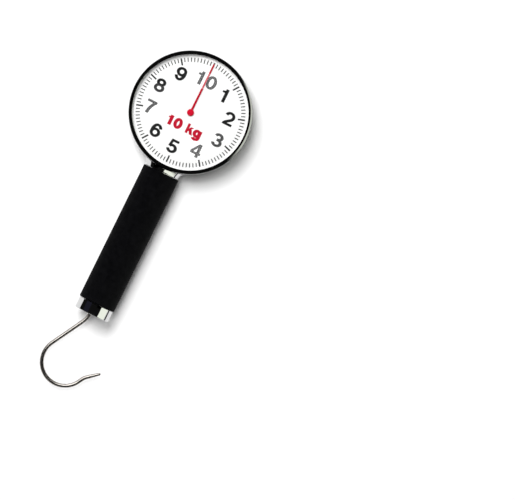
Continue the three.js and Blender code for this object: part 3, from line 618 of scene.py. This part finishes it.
# the numerals stand a little off a true circle
NUMERAL_PLACES = {
    "10": (-0.1, 27.0),
    "1": (17.7, 22.8),
    "2": (28.2, 8.6),
    "3": (27.6, -9.7),
    "4": (16.4, -23.6),
    "5": (-0.9, -28.7),
    "6": (-17.6, -23.4),
    "7": (-29.3, -9.4),
    "8": (-29.6, 8.4),
    "9": (-19.3, 23.0),
}
NUMERAL_HEIGHT = 10.5
UNIT_PLACE = (0.1, -11.5)
UNIT_HEIGHT = 7.7

# a digit's height is one: half widths of an upright and of a level stroke, and the letter widths
NUMERAL_PEN = (0.112, 0.094)
UNIT_PEN = (0.165, 0.14)
DIGIT_WIDTH = 0.74
ADVANCE = 0.8
SPACE_ADVANCE = 0.42
WIDEN = 1.04


CUBIC_STEPS = 16


def cubic(a, b, c, d):
    """Points along a cubic curve from a to d."""
    points = []
    for step in range(CUBIC_STEPS + 1):
        t = step / CUBIC_STEPS
        s = 1 - t
        weights = (s ** 3, 3 * s * s * t, 3 * s * t * t, t ** 3)
        points.append(tuple(
            sum(w * p[axis] for w, p in zip(weights, (a, b, c, d))) for axis in (0, 1)
        ))
    return points


def stroke(points, pen):
    """Four-sided polygons along a line, as wide as an oval pen makes it. A ring may close."""
    line = [Vector(p) for p in points]
    closed = (line[0] - line[-1]).length < 1e-6
    edges = []
    for i, point in enumerate(line):
        before = line[i - 1] if i else (line[-2] if closed else line[0])
        after = line[i + 1] if i + 1 < len(line) else (line[1] if closed else line[-1])
        along = (after - before).normalized()
        across = Vector((-along.y, along.x))
        reach = math.hypot(pen[0] * across.x, pen[1] * across.y)
        edges.append((point + across * reach, point - across * reach))
    return [[a, c, d, b] for (a, b), (c, d) in zip(edges, edges[1:])]


def glyph_parts(pen):
    """Every character as polygons, in digit heights from its lower left corner."""
    def line(*points):
        return stroke(points, pen)

    def oval(centre, radii):
        return stroke(arc(centre, radii, 0, 360, 48), pen)

    six = oval((0.37, 0.335), (0.262, 0.247)) + line(*arc((0.395, 0.47), (0.287, 0.442), 198, 28, 30))
    nine = [[(DIGIT_WIDTH - x, 1 - y) for x, y in polygon] for polygon in six]
    return {
        "0": oval((0.37, 0.5), (0.265, 0.412)),
        "1": line((0.4, 0), (0.4, 1)) + [[
            (0.1, 0.68), (0.33, 0.68), (0.42, 1.0), (0.345, 1.0),
            (0.32, 0.91), (0.24, 0.84), (0.1, 0.825),
        ]],
        "2": line(
            *arc((0.37, 0.665), (0.265, 0.248), 172, -28, 26),
            *cubic((0.59, 0.52), (0.5, 0.37), (0.2, 0.28), (0.135, 0.06))[1:],
        ) + [[(0.02, 0), (0.73, 0), (0.73, 0.18), (0.04, 0.18)]],
        "3": line(*arc((0.36, 0.72), (0.232, 0.193), 168, -90, 26), (0.28, 0.527))
        + line((0.28, 0.518), *arc((0.365, 0.303), (0.268, 0.215), 90, -170, 28)),
        "4": [
            [(0.435, 0), (0.65, 0), (0.65, 1), (0.435, 1)],
            [(0.01, 0.2), (0.755, 0.2), (0.755, 0.37), (0.01, 0.37)],
            [(0.01, 0.33), (0.18, 0.33), (0.47, 0.76), (0.47, 1.0), (0.43, 1.0), (0.01, 0.4)],
        ],
        "5": line(*arc((0.365, 0.325), (0.268, 0.238), 148, -168, 34)) + [
            [(0.15, 0.82), (0.69, 0.82), (0.69, 1.0), (0.135, 1.0)],
            [(0.135, 1.0), (0.31, 0.9), (0.265, 0.56), (0.2, 0.45), (0.05, 0.44)],
        ],
        "6": six,
        "7": line(*cubic((0.64, 0.92), (0.45, 0.7), (0.31, 0.36), (0.29, 0.0))) + [
            [(0.02, 0.82), (0.74, 0.82), (0.74, 0.93), (0.7, 1.0), (0.02, 1.0)],
        ],
        "8": oval((0.37, 0.722), (0.228, 0.19)) + oval((0.37, 0.305), (0.265, 0.217)),
        "9": nine,
        "k": [
            [(0.04, 0), (0.29, 0), (0.29, 1), (0.04, 1)],
            [(0.26, 0.2), (0.26, 0.48), (0.42, 0.74), (0.72, 0.74)],
            [(0.33, 0.35), (0.46, 0.54), (0.6, 0.5), (0.8, 0), (0.5, 0)],
        ],
        "g": oval((0.36, 0.39), (0.235, 0.27))
        + line((0.63, 0.76), (0.63, 0.3), *arc((0.37, 0.0), (0.26, 0.2), 0, -158, 24)),
    }


def lettering(text, centre, height, glyphs):
    """The polygons of a text, its digits centred on a point."""
    starts = [0]
    for character in text:
        starts.append(starts[-1] + (SPACE_ADVANCE if character == " " else ADVANCE))
    middle = (starts[-2] + DIGIT_WIDTH) / 2
    polygons = []
    for start, character in zip(starts, text):
        for polygon in glyphs.get(character, []):
            polygons.append([
                (
                    centre[0] + height * WIDEN * (start + x - middle),
                    centre[1] + height * (y - 0.5),
                )
                for x, y in polygon
            ])
    return polygons


def make_ticks():
    polygons = []
    for k in range(TICKS):
        major = k % MAJOR_EVERY == 0
        half = (MAJOR_WIDTH if major else MINOR_WIDTH) / 2
        inner = MAJOR_INNER_R if major else MINOR_INNER_R
        turn = Matrix.Rotation(-2 * math.pi * k / TICKS, 2)
        corners = [(-half, inner), (half, inner), (half, TICK_OUTER_R), (-half, TICK_OUTER_R)]
        polygons.append([turn @ Vector(corner) for corner in corners])
    place(prism("dial_ticks", polygons, PRINT_LOW, PRINT_HIGH), INK, "frame")


def make_numerals():
    glyphs = glyph_parts(NUMERAL_PEN)
    polygons = []
    for text, centre in NUMERAL_PLACES.items():
        polygons += lettering(text, centre, NUMERAL_HEIGHT, glyphs)
    place(prism("dial_numerals", polygons, PRINT_LOW, PRINT_HIGH), INK, "frame")
    words = lettering("10 kg", UNIT_PLACE, UNIT_HEIGHT, glyph_parts(UNIT_PEN))
    place(prism("dial_unit", words, PRINT_LOW, PRINT_HIGH), RED_INK, "frame")


# ---- the pointer ---------------------------------------------------------------------------------

def make_pointer():
    """A flat tapering needle with an eye, and the domed cap over it."""
    eye_r = 2.35
    bore_r = 1.1
    root, tip = 0.84, 0.6
    reach = POINTER_HIGH.y
    start = (eye_r + bore_r) / 2
    blade = [(-root, start), (root, start), (tip, reach - tip), (0, reach), (-tip, reach - tip)]
    outer = arc((0, 0), (eye_r, eye_r), 0, 360, 60)
    inner = arc((0, 0), (bore_r, bore_r), 0, 360, 60)
    eye = [[a, b, d, c] for a, b, c, d in zip(outer, outer[1:], inner, inner[1:])]
    needle = prism("pointer_needle", [blade, *eye], POINTER_LOW.z, POINTER_HIGH.z)
    edge = needle.modifiers.new("edge", "BEVEL")
    edge.width = 0.1 * MM
    edge.segments = 2
    baked(needle)
    shade(needle.data)
    place(needle, NEEDLE_RED, "pointer", ["pointer"])
    radius, low, high = HUB_HIGH.x, HUB_LOW.z, HUB_HIGH.z
    dome_height, chamfer = 0.9, 0.1
    dome = arc((0, high - dome_height), (radius, dome_height), 0, 90, 14)
    cap = turned("pointer_hub", [
        (0, low), (radius - chamfer, low), (radius, low + chamfer), *dome[:-1], (0, high),
    ], "pointer", ROUND_SMALL * 2)
    place(cap, HUB_RED, "pointer", ["hub_cap"])


# ---- the handle ----------------------------------------------------------------------------------

COLLAR_R = 13.6
COLLAR_FLARE = 2.1
COLLAR_BOTTOM_Y = -50.0
COLLAR_FLARE_TOP_Y = -44.5
COLLAR_BORE_R = 9.3
COLLAR_SKIRT_R = 11.8
COLLAR_SADDLE_GAP = 0.3
COLLAR_SCREW_END_Y = -48.2
COLLAR_SCREW_TOP_Y = -40
TUBE_WALL = 1.0


def make_collar():
    """A flared sleeve, saddled on the case and the bezel."""
    room = TUBE_HIGH.x + 0.3
    bottom, top = COLLAR_LOW.y, COLLAR_HIGH.y
    flare = []
    steps = 14
    for step in range(1, steps + 1):
        share = step / steps
        y = COLLAR_BOTTOM_Y + (COLLAR_FLARE_TOP_Y - COLLAR_BOTTOM_Y) * share
        flare.append((COLLAR_R + COLLAR_FLARE * share ** 2, y))
    edge_r = 0.35
    edge = arc((COLLAR_R - edge_r, COLLAR_BOTTOM_Y + edge_r), (edge_r, edge_r), -90, 0, 5)
    sleeve = turned("collar_sleeve", [
        (room, bottom),
        (COLLAR_SKIRT_R, bottom),
        (COLLAR_SKIRT_R, COLLAR_BOTTOM_Y),
        *edge,
        *flare,
        (COLLAR_R + COLLAR_FLARE, top),
        (COLLAR_BORE_R, top),
        (COLLAR_BORE_R, TUBE_HIGH.y + 0.3),
        (room, TUBE_HIGH.y + 0.3),
    ], "handle", ROUND_HANDLE)
    flatten_flare(sleeve)
    case_r, bezel_r = CAN_HIGH.x + COLLAR_SADDLE_GAP, BEZEL_HIGH.x + COLLAR_SADDLE_GAP
    under_bezel = BEZEL_LOW.z - COLLAR_SADDLE_GAP
    below_all, above_all = -1, 45
    saddle = turned("saddle", [
        (0, below_all),
        (case_r, below_all),
        (case_r, under_bezel),
        (bezel_r, under_bezel),
        (bezel_r, above_all),
        (0, above_all),
    ], "pointer", ROUND_LARGE)
    holes = []
    for side in (-1, 1):
        hole = drill("hole", SCREW_HOLE_R, COLLAR_SCREW_END_Y, COLLAR_SCREW_TOP_Y, "handle")
        holes.append(shifted(hole, (side * COLLAR_SCREW_X, 0, 0)))
    place(carved(sleeve, saddle, *holes), CHROME, "frame", ["neck_collar"])


def flatten_flare(sleeve):
    """Keeps the flare to the sides: above and below, the sleeve stays level with the grip."""
    for vert in sleeve.data.vertices:
        x, y, z = vert.co / MM
        radius = math.hypot(x, z - AXIS_Z)
        if radius > COLLAR_R + 0.01:
            share = min(1.0, (y - COLLAR_BOTTOM_Y) / (COLLAR_FLARE_TOP_Y - COLLAR_BOTTOM_Y))
            half_height = COLLAR_R - 0.3 * share
            vert.co.z = (AXIS_Z + (z - AXIS_Z) * half_height / radius) * MM


def make_grip():
    """The foam sleeve, with soft ends."""
    radius = GRIP_HIGH.x
    inner = TUBE_HIGH.x + 0.3
    inner_top = COLLAR_SKIRT_R + 0.3
    step_y = COLLAR_LOW.y - 0.3
    first, spacing, rings = 4, 5, 21
    side = [(radius, GRIP_LOW.y + first + k * spacing, 0) for k in range(rings)]
    grip = turned("grip_sleeve", filleted([
        (inner, GRIP_LOW.y, 0.3),
        (radius, GRIP_LOW.y, 0.5),
        *side,
        (radius, GRIP_HIGH.y, 0.5),
        (inner_top, GRIP_HIGH.y, 0.3),
        (inner_top, step_y, 0),
        (inner, step_y, 0),
    ]), "handle", ROUND_HANDLE)
    place(grip, FOAM, "frame", ["foam_grip"])


def make_cap():
    """The end cap: a bright cup on the end of the tube, with a hole for the rod."""
    radius = CAP_HIGH.x
    hole = ROD_END_R + 0.4
    recess = TUBE_HIGH.x + 0.3
    floor = TUBE_LOW.y - 0.3
    cap = turned("cap_shell", filleted([
        (hole, CAP_LOW.y, 0.25),
        (radius, CAP_LOW.y, 0.5),
        (radius, CAP_HIGH.y, 0.35),
        (recess, CAP_HIGH.y, 0.15),
        (recess, floor, 0.3),
        (hole, floor, 0.15),
    ]), "handle", ROUND_HANDLE)
    place(cap, CHROME, "frame", ["end_cap"])


def make_tube():
    inner = TUBE_HIGH.x - TUBE_WALL
    pipe = turned("tube_pipe", filleted([
        (inner, TUBE_LOW.y, 0.2),
        (TUBE_HIGH.x, TUBE_LOW.y, 0.2),
        (TUBE_HIGH.x, TUBE_HIGH.y, 0.2),
        (inner, TUBE_HIGH.y, 0.2),
    ], 3), "handle", ROUND_HANDLE)
    place(pipe, STEEL, "frame", ["handle_tube"])


# ---- the draw rod, the spring and the hook -------------------------------------------------------

ROD_R = 2.5
ROD_END_R = 4.2
ROD_STEP_Y = -126.0
HOOK_WIRE_R = 1.55
HOOK_SHANK_X = -1.15
HOOK_SHANK_TOP_Y = -158.5
HOOK_LEG_LEAN = math.radians(29.3)
HOOK_LEG_BEND_R = 21.0
HOOK_LEG_BEND_Y = -168.4
HOOK_BEND_R = 17.9
HOOK_BEND_BOTTOM_Y = -229.55
HOOK_THROAT_LEAN = math.radians(28.1)
HOOK_THROAT_STRAIGHT = 1.8
HOOK_TIP_LEAN = math.radians(50.3)
HOOK_TIP_BEND_R = 13.3
HOOK_TIP_LENGTH = 10.6
HOOK_TAPER_LENGTH = 9.8
HOOK_END_R = 1.05
BEND_STEP = 0.6
SPRING_WIRE_R = 1.0
SPRING_COIL_R = 7.5
SPRING_ACTIVE_TURNS = 10.5
SPRING_END_PITCH = 2.15
PIN_HOLE_R = 0.7
PIN_X = (PIN_LOW.x + PIN_HIGH.x) / 2
PIN_Y = (PIN_LOW.y + PIN_HIGH.y) / 2
RIVET_YS = (-37.0, -41.5)
ABOVE_HANDLE = 30


def make_rod():
    """The draw rod: a thick lower end that holds the hook's shank, and a block on the rack."""
    bar_top = ROD_HIGH.y - 9.5
    rod = turned("rod_bar", filleted([
        (0, ROD_LOW.y, 0),
        (ROD_END_R, ROD_LOW.y, 0.4),
        (ROD_END_R, ROD_STEP_Y, 0.3),
        (ROD_R, ROD_STEP_Y + 1.2, 0.3),
        (ROD_R, bar_top, 0.2),
        (0, bar_top, 0),
    ], 5), "handle", ROUND_SMALL * 2)
    seat = RACK_HIGH.z + 0.3
    half, length = 3, 10
    foot = block("rod_foot", (-half, ROD_HIGH.y - length, seat), (half, ROD_HIGH.y, ROD_HIGH.z))
    joined(rod, foot)
    socket = drill("socket", HOOK_WIRE_R + 0.2, ROD_LOW.y - 1, HOOK_SHANK_TOP_Y + 0.3, "handle")
    cutters = [shifted(socket, (HOOK_SHANK_X, 0, 0))]
    holes = [("pin_cut", PIN_X, PIN_Y, PIN_HOLE_R)]
    holes += [("rivet_cut", 0, y, SCREW_HOLE_R) for y in RIVET_YS]
    for name, x, y, radius in holes:
        cutters.append(shifted(drill(name, radius, 0, ABOVE_HANDLE, "pointer"), (x, y, 0)))
    place(carved(rod, *cutters), STEEL, "slider", ["draw_rod"])
    pin_r = (PIN_HIGH.x - PIN_LOW.x) / 2
    pin = turned("hook_cross_pin", filleted([
        (0, PIN_LOW.z, 0), (pin_r, PIN_LOW.z, 0.15), (pin_r, PIN_HIGH.z, 0.15), (0, PIN_HIGH.z, 0),
    ], 4), "pointer", 32)
    place(shifted(pin, (PIN_X, PIN_Y, 0)), STEEL, "slider", ["hook_pin"])


class WireWalk:
    """Walks along a bent wire in the plane of the dial, keeping the points that it passes."""

    def __init__(self, x, y, heading):
        self.at = Vector((x, y))
        self.heading = heading
        self.points = [self.at.copy()]

    def straight(self, length, step=1.0):
        count = max(1, round(length / step))
        start = self.at.copy()
        way = Vector((math.cos(self.heading), math.sin(self.heading)))
        for k in range(1, count + 1):
            self.at = start + way * (length * k / count)
            self.points.append(self.at.copy())

    def bend(self, radius, angle):
        side = math.copysign(1, angle)
        across = Vector((-math.sin(self.heading), math.cos(self.heading))) * side
        centre = self.at + across * radius
        count = max(2, round(abs(angle) * radius / BEND_STEP))
        start = self.at - centre
        for k in range(1, count + 1):
            self.at = centre + Matrix.Rotation(angle * k / count, 2) @ start
            self.points.append(self.at.copy())
        self.heading += angle


def make_hook():
    """A round wire: shank, slanting leg, round bend, and a tip that leans out to a soft point."""
    walk = WireWalk(HOOK_SHANK_X, HOOK_SHANK_TOP_Y, -math.pi / 2)
    walk.straight(HOOK_SHANK_TOP_Y - HOOK_LEG_BEND_Y)
    walk.bend(HOOK_LEG_BEND_R, -HOOK_LEG_LEAN)
    bend_start_y = HOOK_BEND_BOTTOM_Y + HOOK_BEND_R * (1 + math.sin(HOOK_LEG_LEAN))
    walk.straight((walk.at.y - bend_start_y) / math.cos(HOOK_LEG_LEAN))
    walk.bend(HOOK_BEND_R, math.pi / 2 - HOOK_THROAT_LEAN - walk.heading)
    walk.straight(HOOK_THROAT_STRAIGHT)
    walk.bend(HOOK_TIP_BEND_R, HOOK_THROAT_LEAN - HOOK_TIP_LEAN)
    walk.straight(HOOK_TIP_LENGTH, 0.2)
    path = [(p.x, p.y, AXIS_Z) for p in walk.points]
    left = [0.0]
    for a, b in zip(walk.points[::-1], walk.points[-2::-1]):
        left.append(left[-1] + (a - b).length)
    radii = []
    for distance in left[::-1]:
        taper = min(1.0, distance / HOOK_TAPER_LENGTH)
        radius = HOOK_END_R + (HOOK_WIRE_R - HOOK_END_R) * taper
        end = min(1.0, distance / HOOK_END_R)
        radii.append(radius * max(0.12, math.sqrt(1 - (1 - end) ** 2)))
    wire = tube("hook_wire", path, radii, 40)
    hole = drill("pin_cut", PIN_HOLE_R, 0, ABOVE_HANDLE, "pointer", 32)
    carved(wire, shifted(hole, (PIN_X, PIN_Y, 0)))
    place(wire, HOOK_STEEL, "slider", ["hook"])


def make_spring():
    """The main spring, a coil about the handle's axis, in one fixed length."""
    low, high = SPRING_LOW.y + SPRING_WIRE_R, SPRING_HIGH.y - SPRING_WIRE_R
    turns = SPRING_ACTIVE_TURNS + 2
    pitch = (high - low - 2 * SPRING_END_PITCH) / SPRING_ACTIVE_TURNS
    path = []
    steps = round(turns * 40)
    for step in range(steps + 1):
        turn = turns * step / steps
        in_ends = min(turn, 1) + max(0, turn - 1 - SPRING_ACTIVE_TURNS)
        angle = 2 * math.pi * turn
        path.append((
            SPRING_COIL_R * math.cos(angle),
            low + in_ends * SPRING_END_PITCH + (turn - in_ends) * pitch,
            AXIS_Z + SPRING_COIL_R * math.sin(angle),
        ))
    coil = tube("coil_spring", path, [SPRING_WIRE_R] * len(path), 16)
    place(coil, SPRING_STEEL, "frame", ["main_spring"])
    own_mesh(coil)


# ---- CAD nodes that stay -------------------------------------------------------------------------

KEPT = {
    "lens_gasket": RUBBER,
    "movement_base": STEEL,
    "movement_front_plate": BRASS,
    "pillar": BRASS,
    "movement_screw": STEEL,
    "rack_guide": NYLON,
    "guide_screw": STEEL,
    "collar_screw": STEEL,
    "end_bush": NYLON,
    "rack": BRASS,
    "rack_rivet": STEEL,
    "calibration_nut": BRASS,
    "spring_washer": STEEL,
    "pointer_arbor": STEEL,
    "pinion": BRASS,
}


def finish_kept_nodes():
    """The inner pieces keep their CAD shape, with finished materials and broken edges."""
    for name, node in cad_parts.items():
        if node.hide_render:
            continue
        kind = max((k for k in KEPT if name.startswith(k)), key=len)
        for slot in node.material_slots:
            slot.material = KEPT[kind]
        edge = node.modifiers.new("edge", "BEVEL")
        edge.width = 0.08 * MM
        edge.segments = 2
        edge.limit_method = "ANGLE"
        edge.angle_limit = math.radians(40)


# ---- table, lights and camera --------------------------------------------------------------------

VIEW_WIDTH = 0.390
VIEW_CENTRE = (0.0914, -0.0709)
VIEW_TURN = math.radians(26.22)
VIEW_PLANE = 0.02
CAMERA_DISTANCE = 3.5
SENSOR = 36.0

TABLE_SIZE = 8.0
KEY_TILT = math.radians(26)
KEY_BEARING = math.radians(143)
KEY_DISTANCE = 2.0
KEY_SIZE = 1.0
KEY_POWER = 35.0
TOP_TILT = math.radians(10)
TOP_SIZE = 0.6
TOP_POWER = 11.5
AMBIENT = 0.2
DARK_STUDIO = 0.010
BACKDROP = 0.93
SOFTBOX_TINT = (0.96, 1.0, 0.88)
SOFTBOX_STRENGTH = 1.42
SOFTBOX_HEIGHT = 1.38
SOFTBOX_FADES = ((2.3, 1.1), (-0.62, -0.08))
DARK_CARD_LOW = (0.075, -0.26)
DARK_CARD_HIGH = (0.22, 0.06)
DARK_CARD_LEVEL = 0.002
DARK_CARD_LIGHT = 0.01
PANEL_HEIGHT = 1.75
# the piece that shows it, centre X and Y, half sizes, and light: in the lens they veil the 10,
# the 3, the 4, the 7 and the foot of the 8, and the last two light the collar and the cap
PANELS = (
    ("lens_dome", -0.044, 0.120, 0.030, 0.021, (3.8, 3.8, 3.8)),
    ("lens_dome", 0.044, 0.003, 0.016, 0.023, (1.9, 1.9, 1.9)),
    ("lens_dome", 0.008, -0.042, 0.016, 0.021, (3.9, 3.9, 3.9)),
    ("lens_dome", -0.138, 0.004, 0.017, 0.019, (3.3, 3.3, 3.3)),
    ("lens_dome", -0.139, 0.052, 0.017, 0.011, (1.1, 1.1, 1.1)),
    ("collar_sleeve", 1.02, 0.16, 0.64, 0.25, (1.36, 1.42, 1.25)),
    ("cap_shell", -2.05, -0.3, 1.2, 0.4, (0.018, 0.018, 0.030)),
)
FILL_BEARING = math.radians(140)
FILL_TILT = math.radians(35)
FILL_DISTANCE = 1.6
FILL_SIZE = 1.25
FILL_POWER = 16.0


def sheet(name, corners, material):
    mesh = bpy.data.meshes.new(name)
    mesh.from_pydata(corners, [], [tuple(range(len(corners)))])
    mesh.materials.append(material)
    made = bpy.data.objects.new(name, mesh)
    bpy.context.scene.collection.objects.link(made)
    return made


def level_corners(low, high, z):
    """The corners of a level rectangle, from its lowest and its highest X and Y."""
    return [(low[0], low[1], z), (high[0], low[1], z), (high[0], high[1], z), (low[0], high[1], z)]


def reflected_only(card):
    """A card that shows in shiny surfaces and nowhere else."""
    card.visible_camera = False
    card.visible_diffuse = False
    card.visible_shadow = False
    card.visible_transmission = False
    card.visible_volume_scatter = False


def linked(state, *pieces):
    """A linking set that holds these pieces alone (INCLUDE) or everything but them (EXCLUDE)."""
    name = "_".join((state.lower(), *pieces))
    if name in bpy.data.collections:
        return bpy.data.collections[name]
    chosen = bpy.data.collections.new(name)
    for piece in pieces:
        chosen.objects.link(bpy.data.objects[piece])
    for member in chosen.collection_objects:
        member.light_linking.link_state = state
    return chosen


def make_glow(name, color, strength, fades=(), see_through=False):
    """A lit surface. Each fade takes its light along Y from none to full, places in metres.

    A see-through one lets what lies behind it show in the pieces that don't take its light.
    """
    material = bpy.data.materials.new(name)
    material.use_nodes = True
    nodes = material.node_tree.nodes
    links = material.node_tree.links
    nodes.clear()
    light = nodes.new("ShaderNodeEmission")
    light.inputs["Color"].default_value = (*color, 1)
    light.inputs["Strength"].default_value = strength
    earlier = None
    for dark_at, full_at in fades:
        place_in = nodes.new("ShaderNodeTexCoord")
        axes = nodes.new("ShaderNodeSeparateXYZ")
        links.new(place_in.outputs["Object"], axes.inputs["Vector"])
        ramp = nodes.new("ShaderNodeMapRange")
        ramp.interpolation_type = "SMOOTHSTEP"
        ramp.inputs["From Min"].default_value = dark_at
        ramp.inputs["From Max"].default_value = full_at
        ramp.inputs["To Max"].default_value = strength
        if earlier:
            links.new(earlier.outputs["Result"], ramp.inputs["To Max"])
        links.new(axes.outputs["Y"], ramp.inputs["Value"])
        links.new(ramp.outputs["Result"], light.inputs["Strength"])
        earlier = ramp
    surface = light.outputs["Emission"]
    if see_through:
        both = nodes.new("ShaderNodeAddShader")
        links.new(surface, both.inputs[0])
        links.new(nodes.new("ShaderNodeBsdfTransparent").outputs["BSDF"], both.inputs[1])
        surface = both.outputs["Shader"]
    output = nodes.new("ShaderNodeOutputMaterial")
    links.new(surface, output.inputs["Surface"])
    return material


def make_table():
    half = TABLE_SIZE / 2
    level = cad_box[0].z - 0.0002
    look = Look("table_white", (0.97, 0.97, 0.97), 0.9, Specular_IOR_Level=0.0)
    sheet("table", level_corners((-half, -half), (half, half), level), look.material)


def make_cards():
    """What shows in shiny pieces: a tall softbox on the right, with one for the cap alone in
    front of it, the panels overhead, and a dark card lying on the table beside the scale.
    """
    fading = make_glow("softbox_glow", SOFTBOX_TINT, SOFTBOX_STRENGTH, SOFTBOX_FADES)
    steady = make_glow("cap_softbox_glow", SOFTBOX_TINT, SOFTBOX_STRENGTH, see_through=True)
    for name, far, start, end, glow, takers in (
        ("side_softbox", 1.2, -0.7, 2.4, fading, linked("EXCLUDE", "hook_wire", "cap_shell")),
        ("cap_softbox", 1.19, -0.8, 0.4, steady, linked("INCLUDE", "cap_shell")),
    ):
        softbox = sheet(name, [
            (far, start, 0),
            (far, end, 0),
            (far, end, SOFTBOX_HEIGHT),
            (far, start, SOFTBOX_HEIGHT),
        ], glow)
        reflected_only(softbox)
        softbox.light_linking.receiver_collection = takers
    for number, (piece, x, y, half_x, half_y, light) in enumerate(PANELS, 1):
        corners = level_corners((x - half_x, y - half_y), (x + half_x, y + half_y), PANEL_HEIGHT)
        panel = sheet(f"ceiling_panel_{number}", corners, make_glow(f"panel_glow_{number}", light, 1.0))
        reflected_only(panel)
        panel.light_linking.receiver_collection = linked("INCLUDE", piece)
    corners = level_corners(DARK_CARD_LOW, DARK_CARD_HIGH, DARK_CARD_LEVEL)
    reflected_only(sheet("dark_card", corners, make_glow("card_dark", (1, 1, 1), DARK_CARD_LIGHT)))


def make_world():
    """An even light from all round, and for shiny surfaces a dark studio."""
    world = bpy.data.worlds.new("studio")
    world.use_nodes = True
    nodes = world.node_tree.nodes
    links = world.node_tree.links
    nodes.clear()
    path = nodes.new("ShaderNodeLightPath")
    shiny = nodes.new("ShaderNodeMath")
    shiny.operation = "MAXIMUM"
    links.new(path.outputs["Is Glossy Ray"], shiny.inputs[0])
    links.new(path.outputs["Is Transmission Ray"], shiny.inputs[1])
    strength = nodes.new("ShaderNodeMix")
    strength.inputs["A"].default_value = AMBIENT
    strength.inputs["B"].default_value = DARK_STUDIO
    links.new(shiny.outputs["Value"], strength.inputs["Factor"])
    seen = nodes.new("ShaderNodeMix")
    seen.inputs["B"].default_value = BACKDROP
    links.new(path.outputs["Is Camera Ray"], seen.inputs["Factor"])
    links.new(strength.outputs["Result"], seen.inputs["A"])
    background = nodes.new("ShaderNodeBackground")
    links.new(seen.outputs["Result"], background.inputs["Strength"])
    output = nodes.new("ShaderNodeOutputWorld")
    links.new(background.outputs["Background"], output.inputs["Surface"])
    bpy.context.scene.world = world


def round_light(name, power, size, bearing, tilt, distance):
    """A disk of light that faces the scale, off the vertical by a tilt and towards a bearing."""
    data = bpy.data.lights.new(name, "AREA")
    data.shape = "DISK"
    data.size = size
    data.energy = power
    light = bpy.data.objects.new(name, data)
    bpy.context.scene.collection.objects.link(light)
    side = Vector((math.cos(bearing), math.sin(bearing), 0))
    way = side * math.sin(tilt) + Vector((0, 0, math.cos(tilt)))
    light.location = Vector((*VIEW_CENTRE, 0)) + way * distance
    light.rotation_euler = way.to_track_quat("Z", "Y").to_euler()
    light.visible_camera = False
    return light


def make_lights():
    """A key and a top light, kept out of the plating, and a fill that only the hook's wire takes.

    The thin wire throws no shadow from the key, only a faint one from the top light. The cap
    throws one from the key alone.
    """
    key = round_light("key", KEY_POWER, KEY_SIZE, KEY_BEARING, KEY_TILT, KEY_DISTANCE)
    key.light_linking.blocker_collection = linked("EXCLUDE", "hook_wire")
    top = round_light("top", TOP_POWER, TOP_SIZE, KEY_BEARING, TOP_TILT, KEY_DISTANCE)
    top.light_linking.blocker_collection = linked("EXCLUDE", "cap_shell")
    for light in (key, top):
        light.visible_glossy = False
        light.visible_transmission = False
    fill = round_light("hook_fill", FILL_POWER, FILL_SIZE, FILL_BEARING, FILL_TILT, FILL_DISTANCE)
    fill.light_linking.receiver_collection = linked("INCLUDE", "hook_wire")


def make_camera():
    data = bpy.data.cameras.new("camera")
    data.sensor_width = SENSOR
    data.lens = SENSOR * CAMERA_DISTANCE / VIEW_WIDTH
    camera = bpy.data.objects.new("camera", data)
    bpy.context.scene.collection.objects.link(camera)
    camera.location = (*VIEW_CENTRE, VIEW_PLANE + CAMERA_DISTANCE)
    camera.rotation_euler = (0, 0, VIEW_TURN)
    bpy.context.scene.camera = camera


make_bezel()
make_case()
make_back()
make_lens_piece()
make_spacer()
make_dial()
make_ticks()
make_numerals()
make_pointer()
make_collar()
make_grip()
make_cap()
make_tube()
make_rod()
make_hook()
make_spring()
finish_kept_nodes()

make_camera()
make_world()
make_lights()
make_table()
make_cards()

bpy.context.scene.view_settings.view_transform = "Standard"
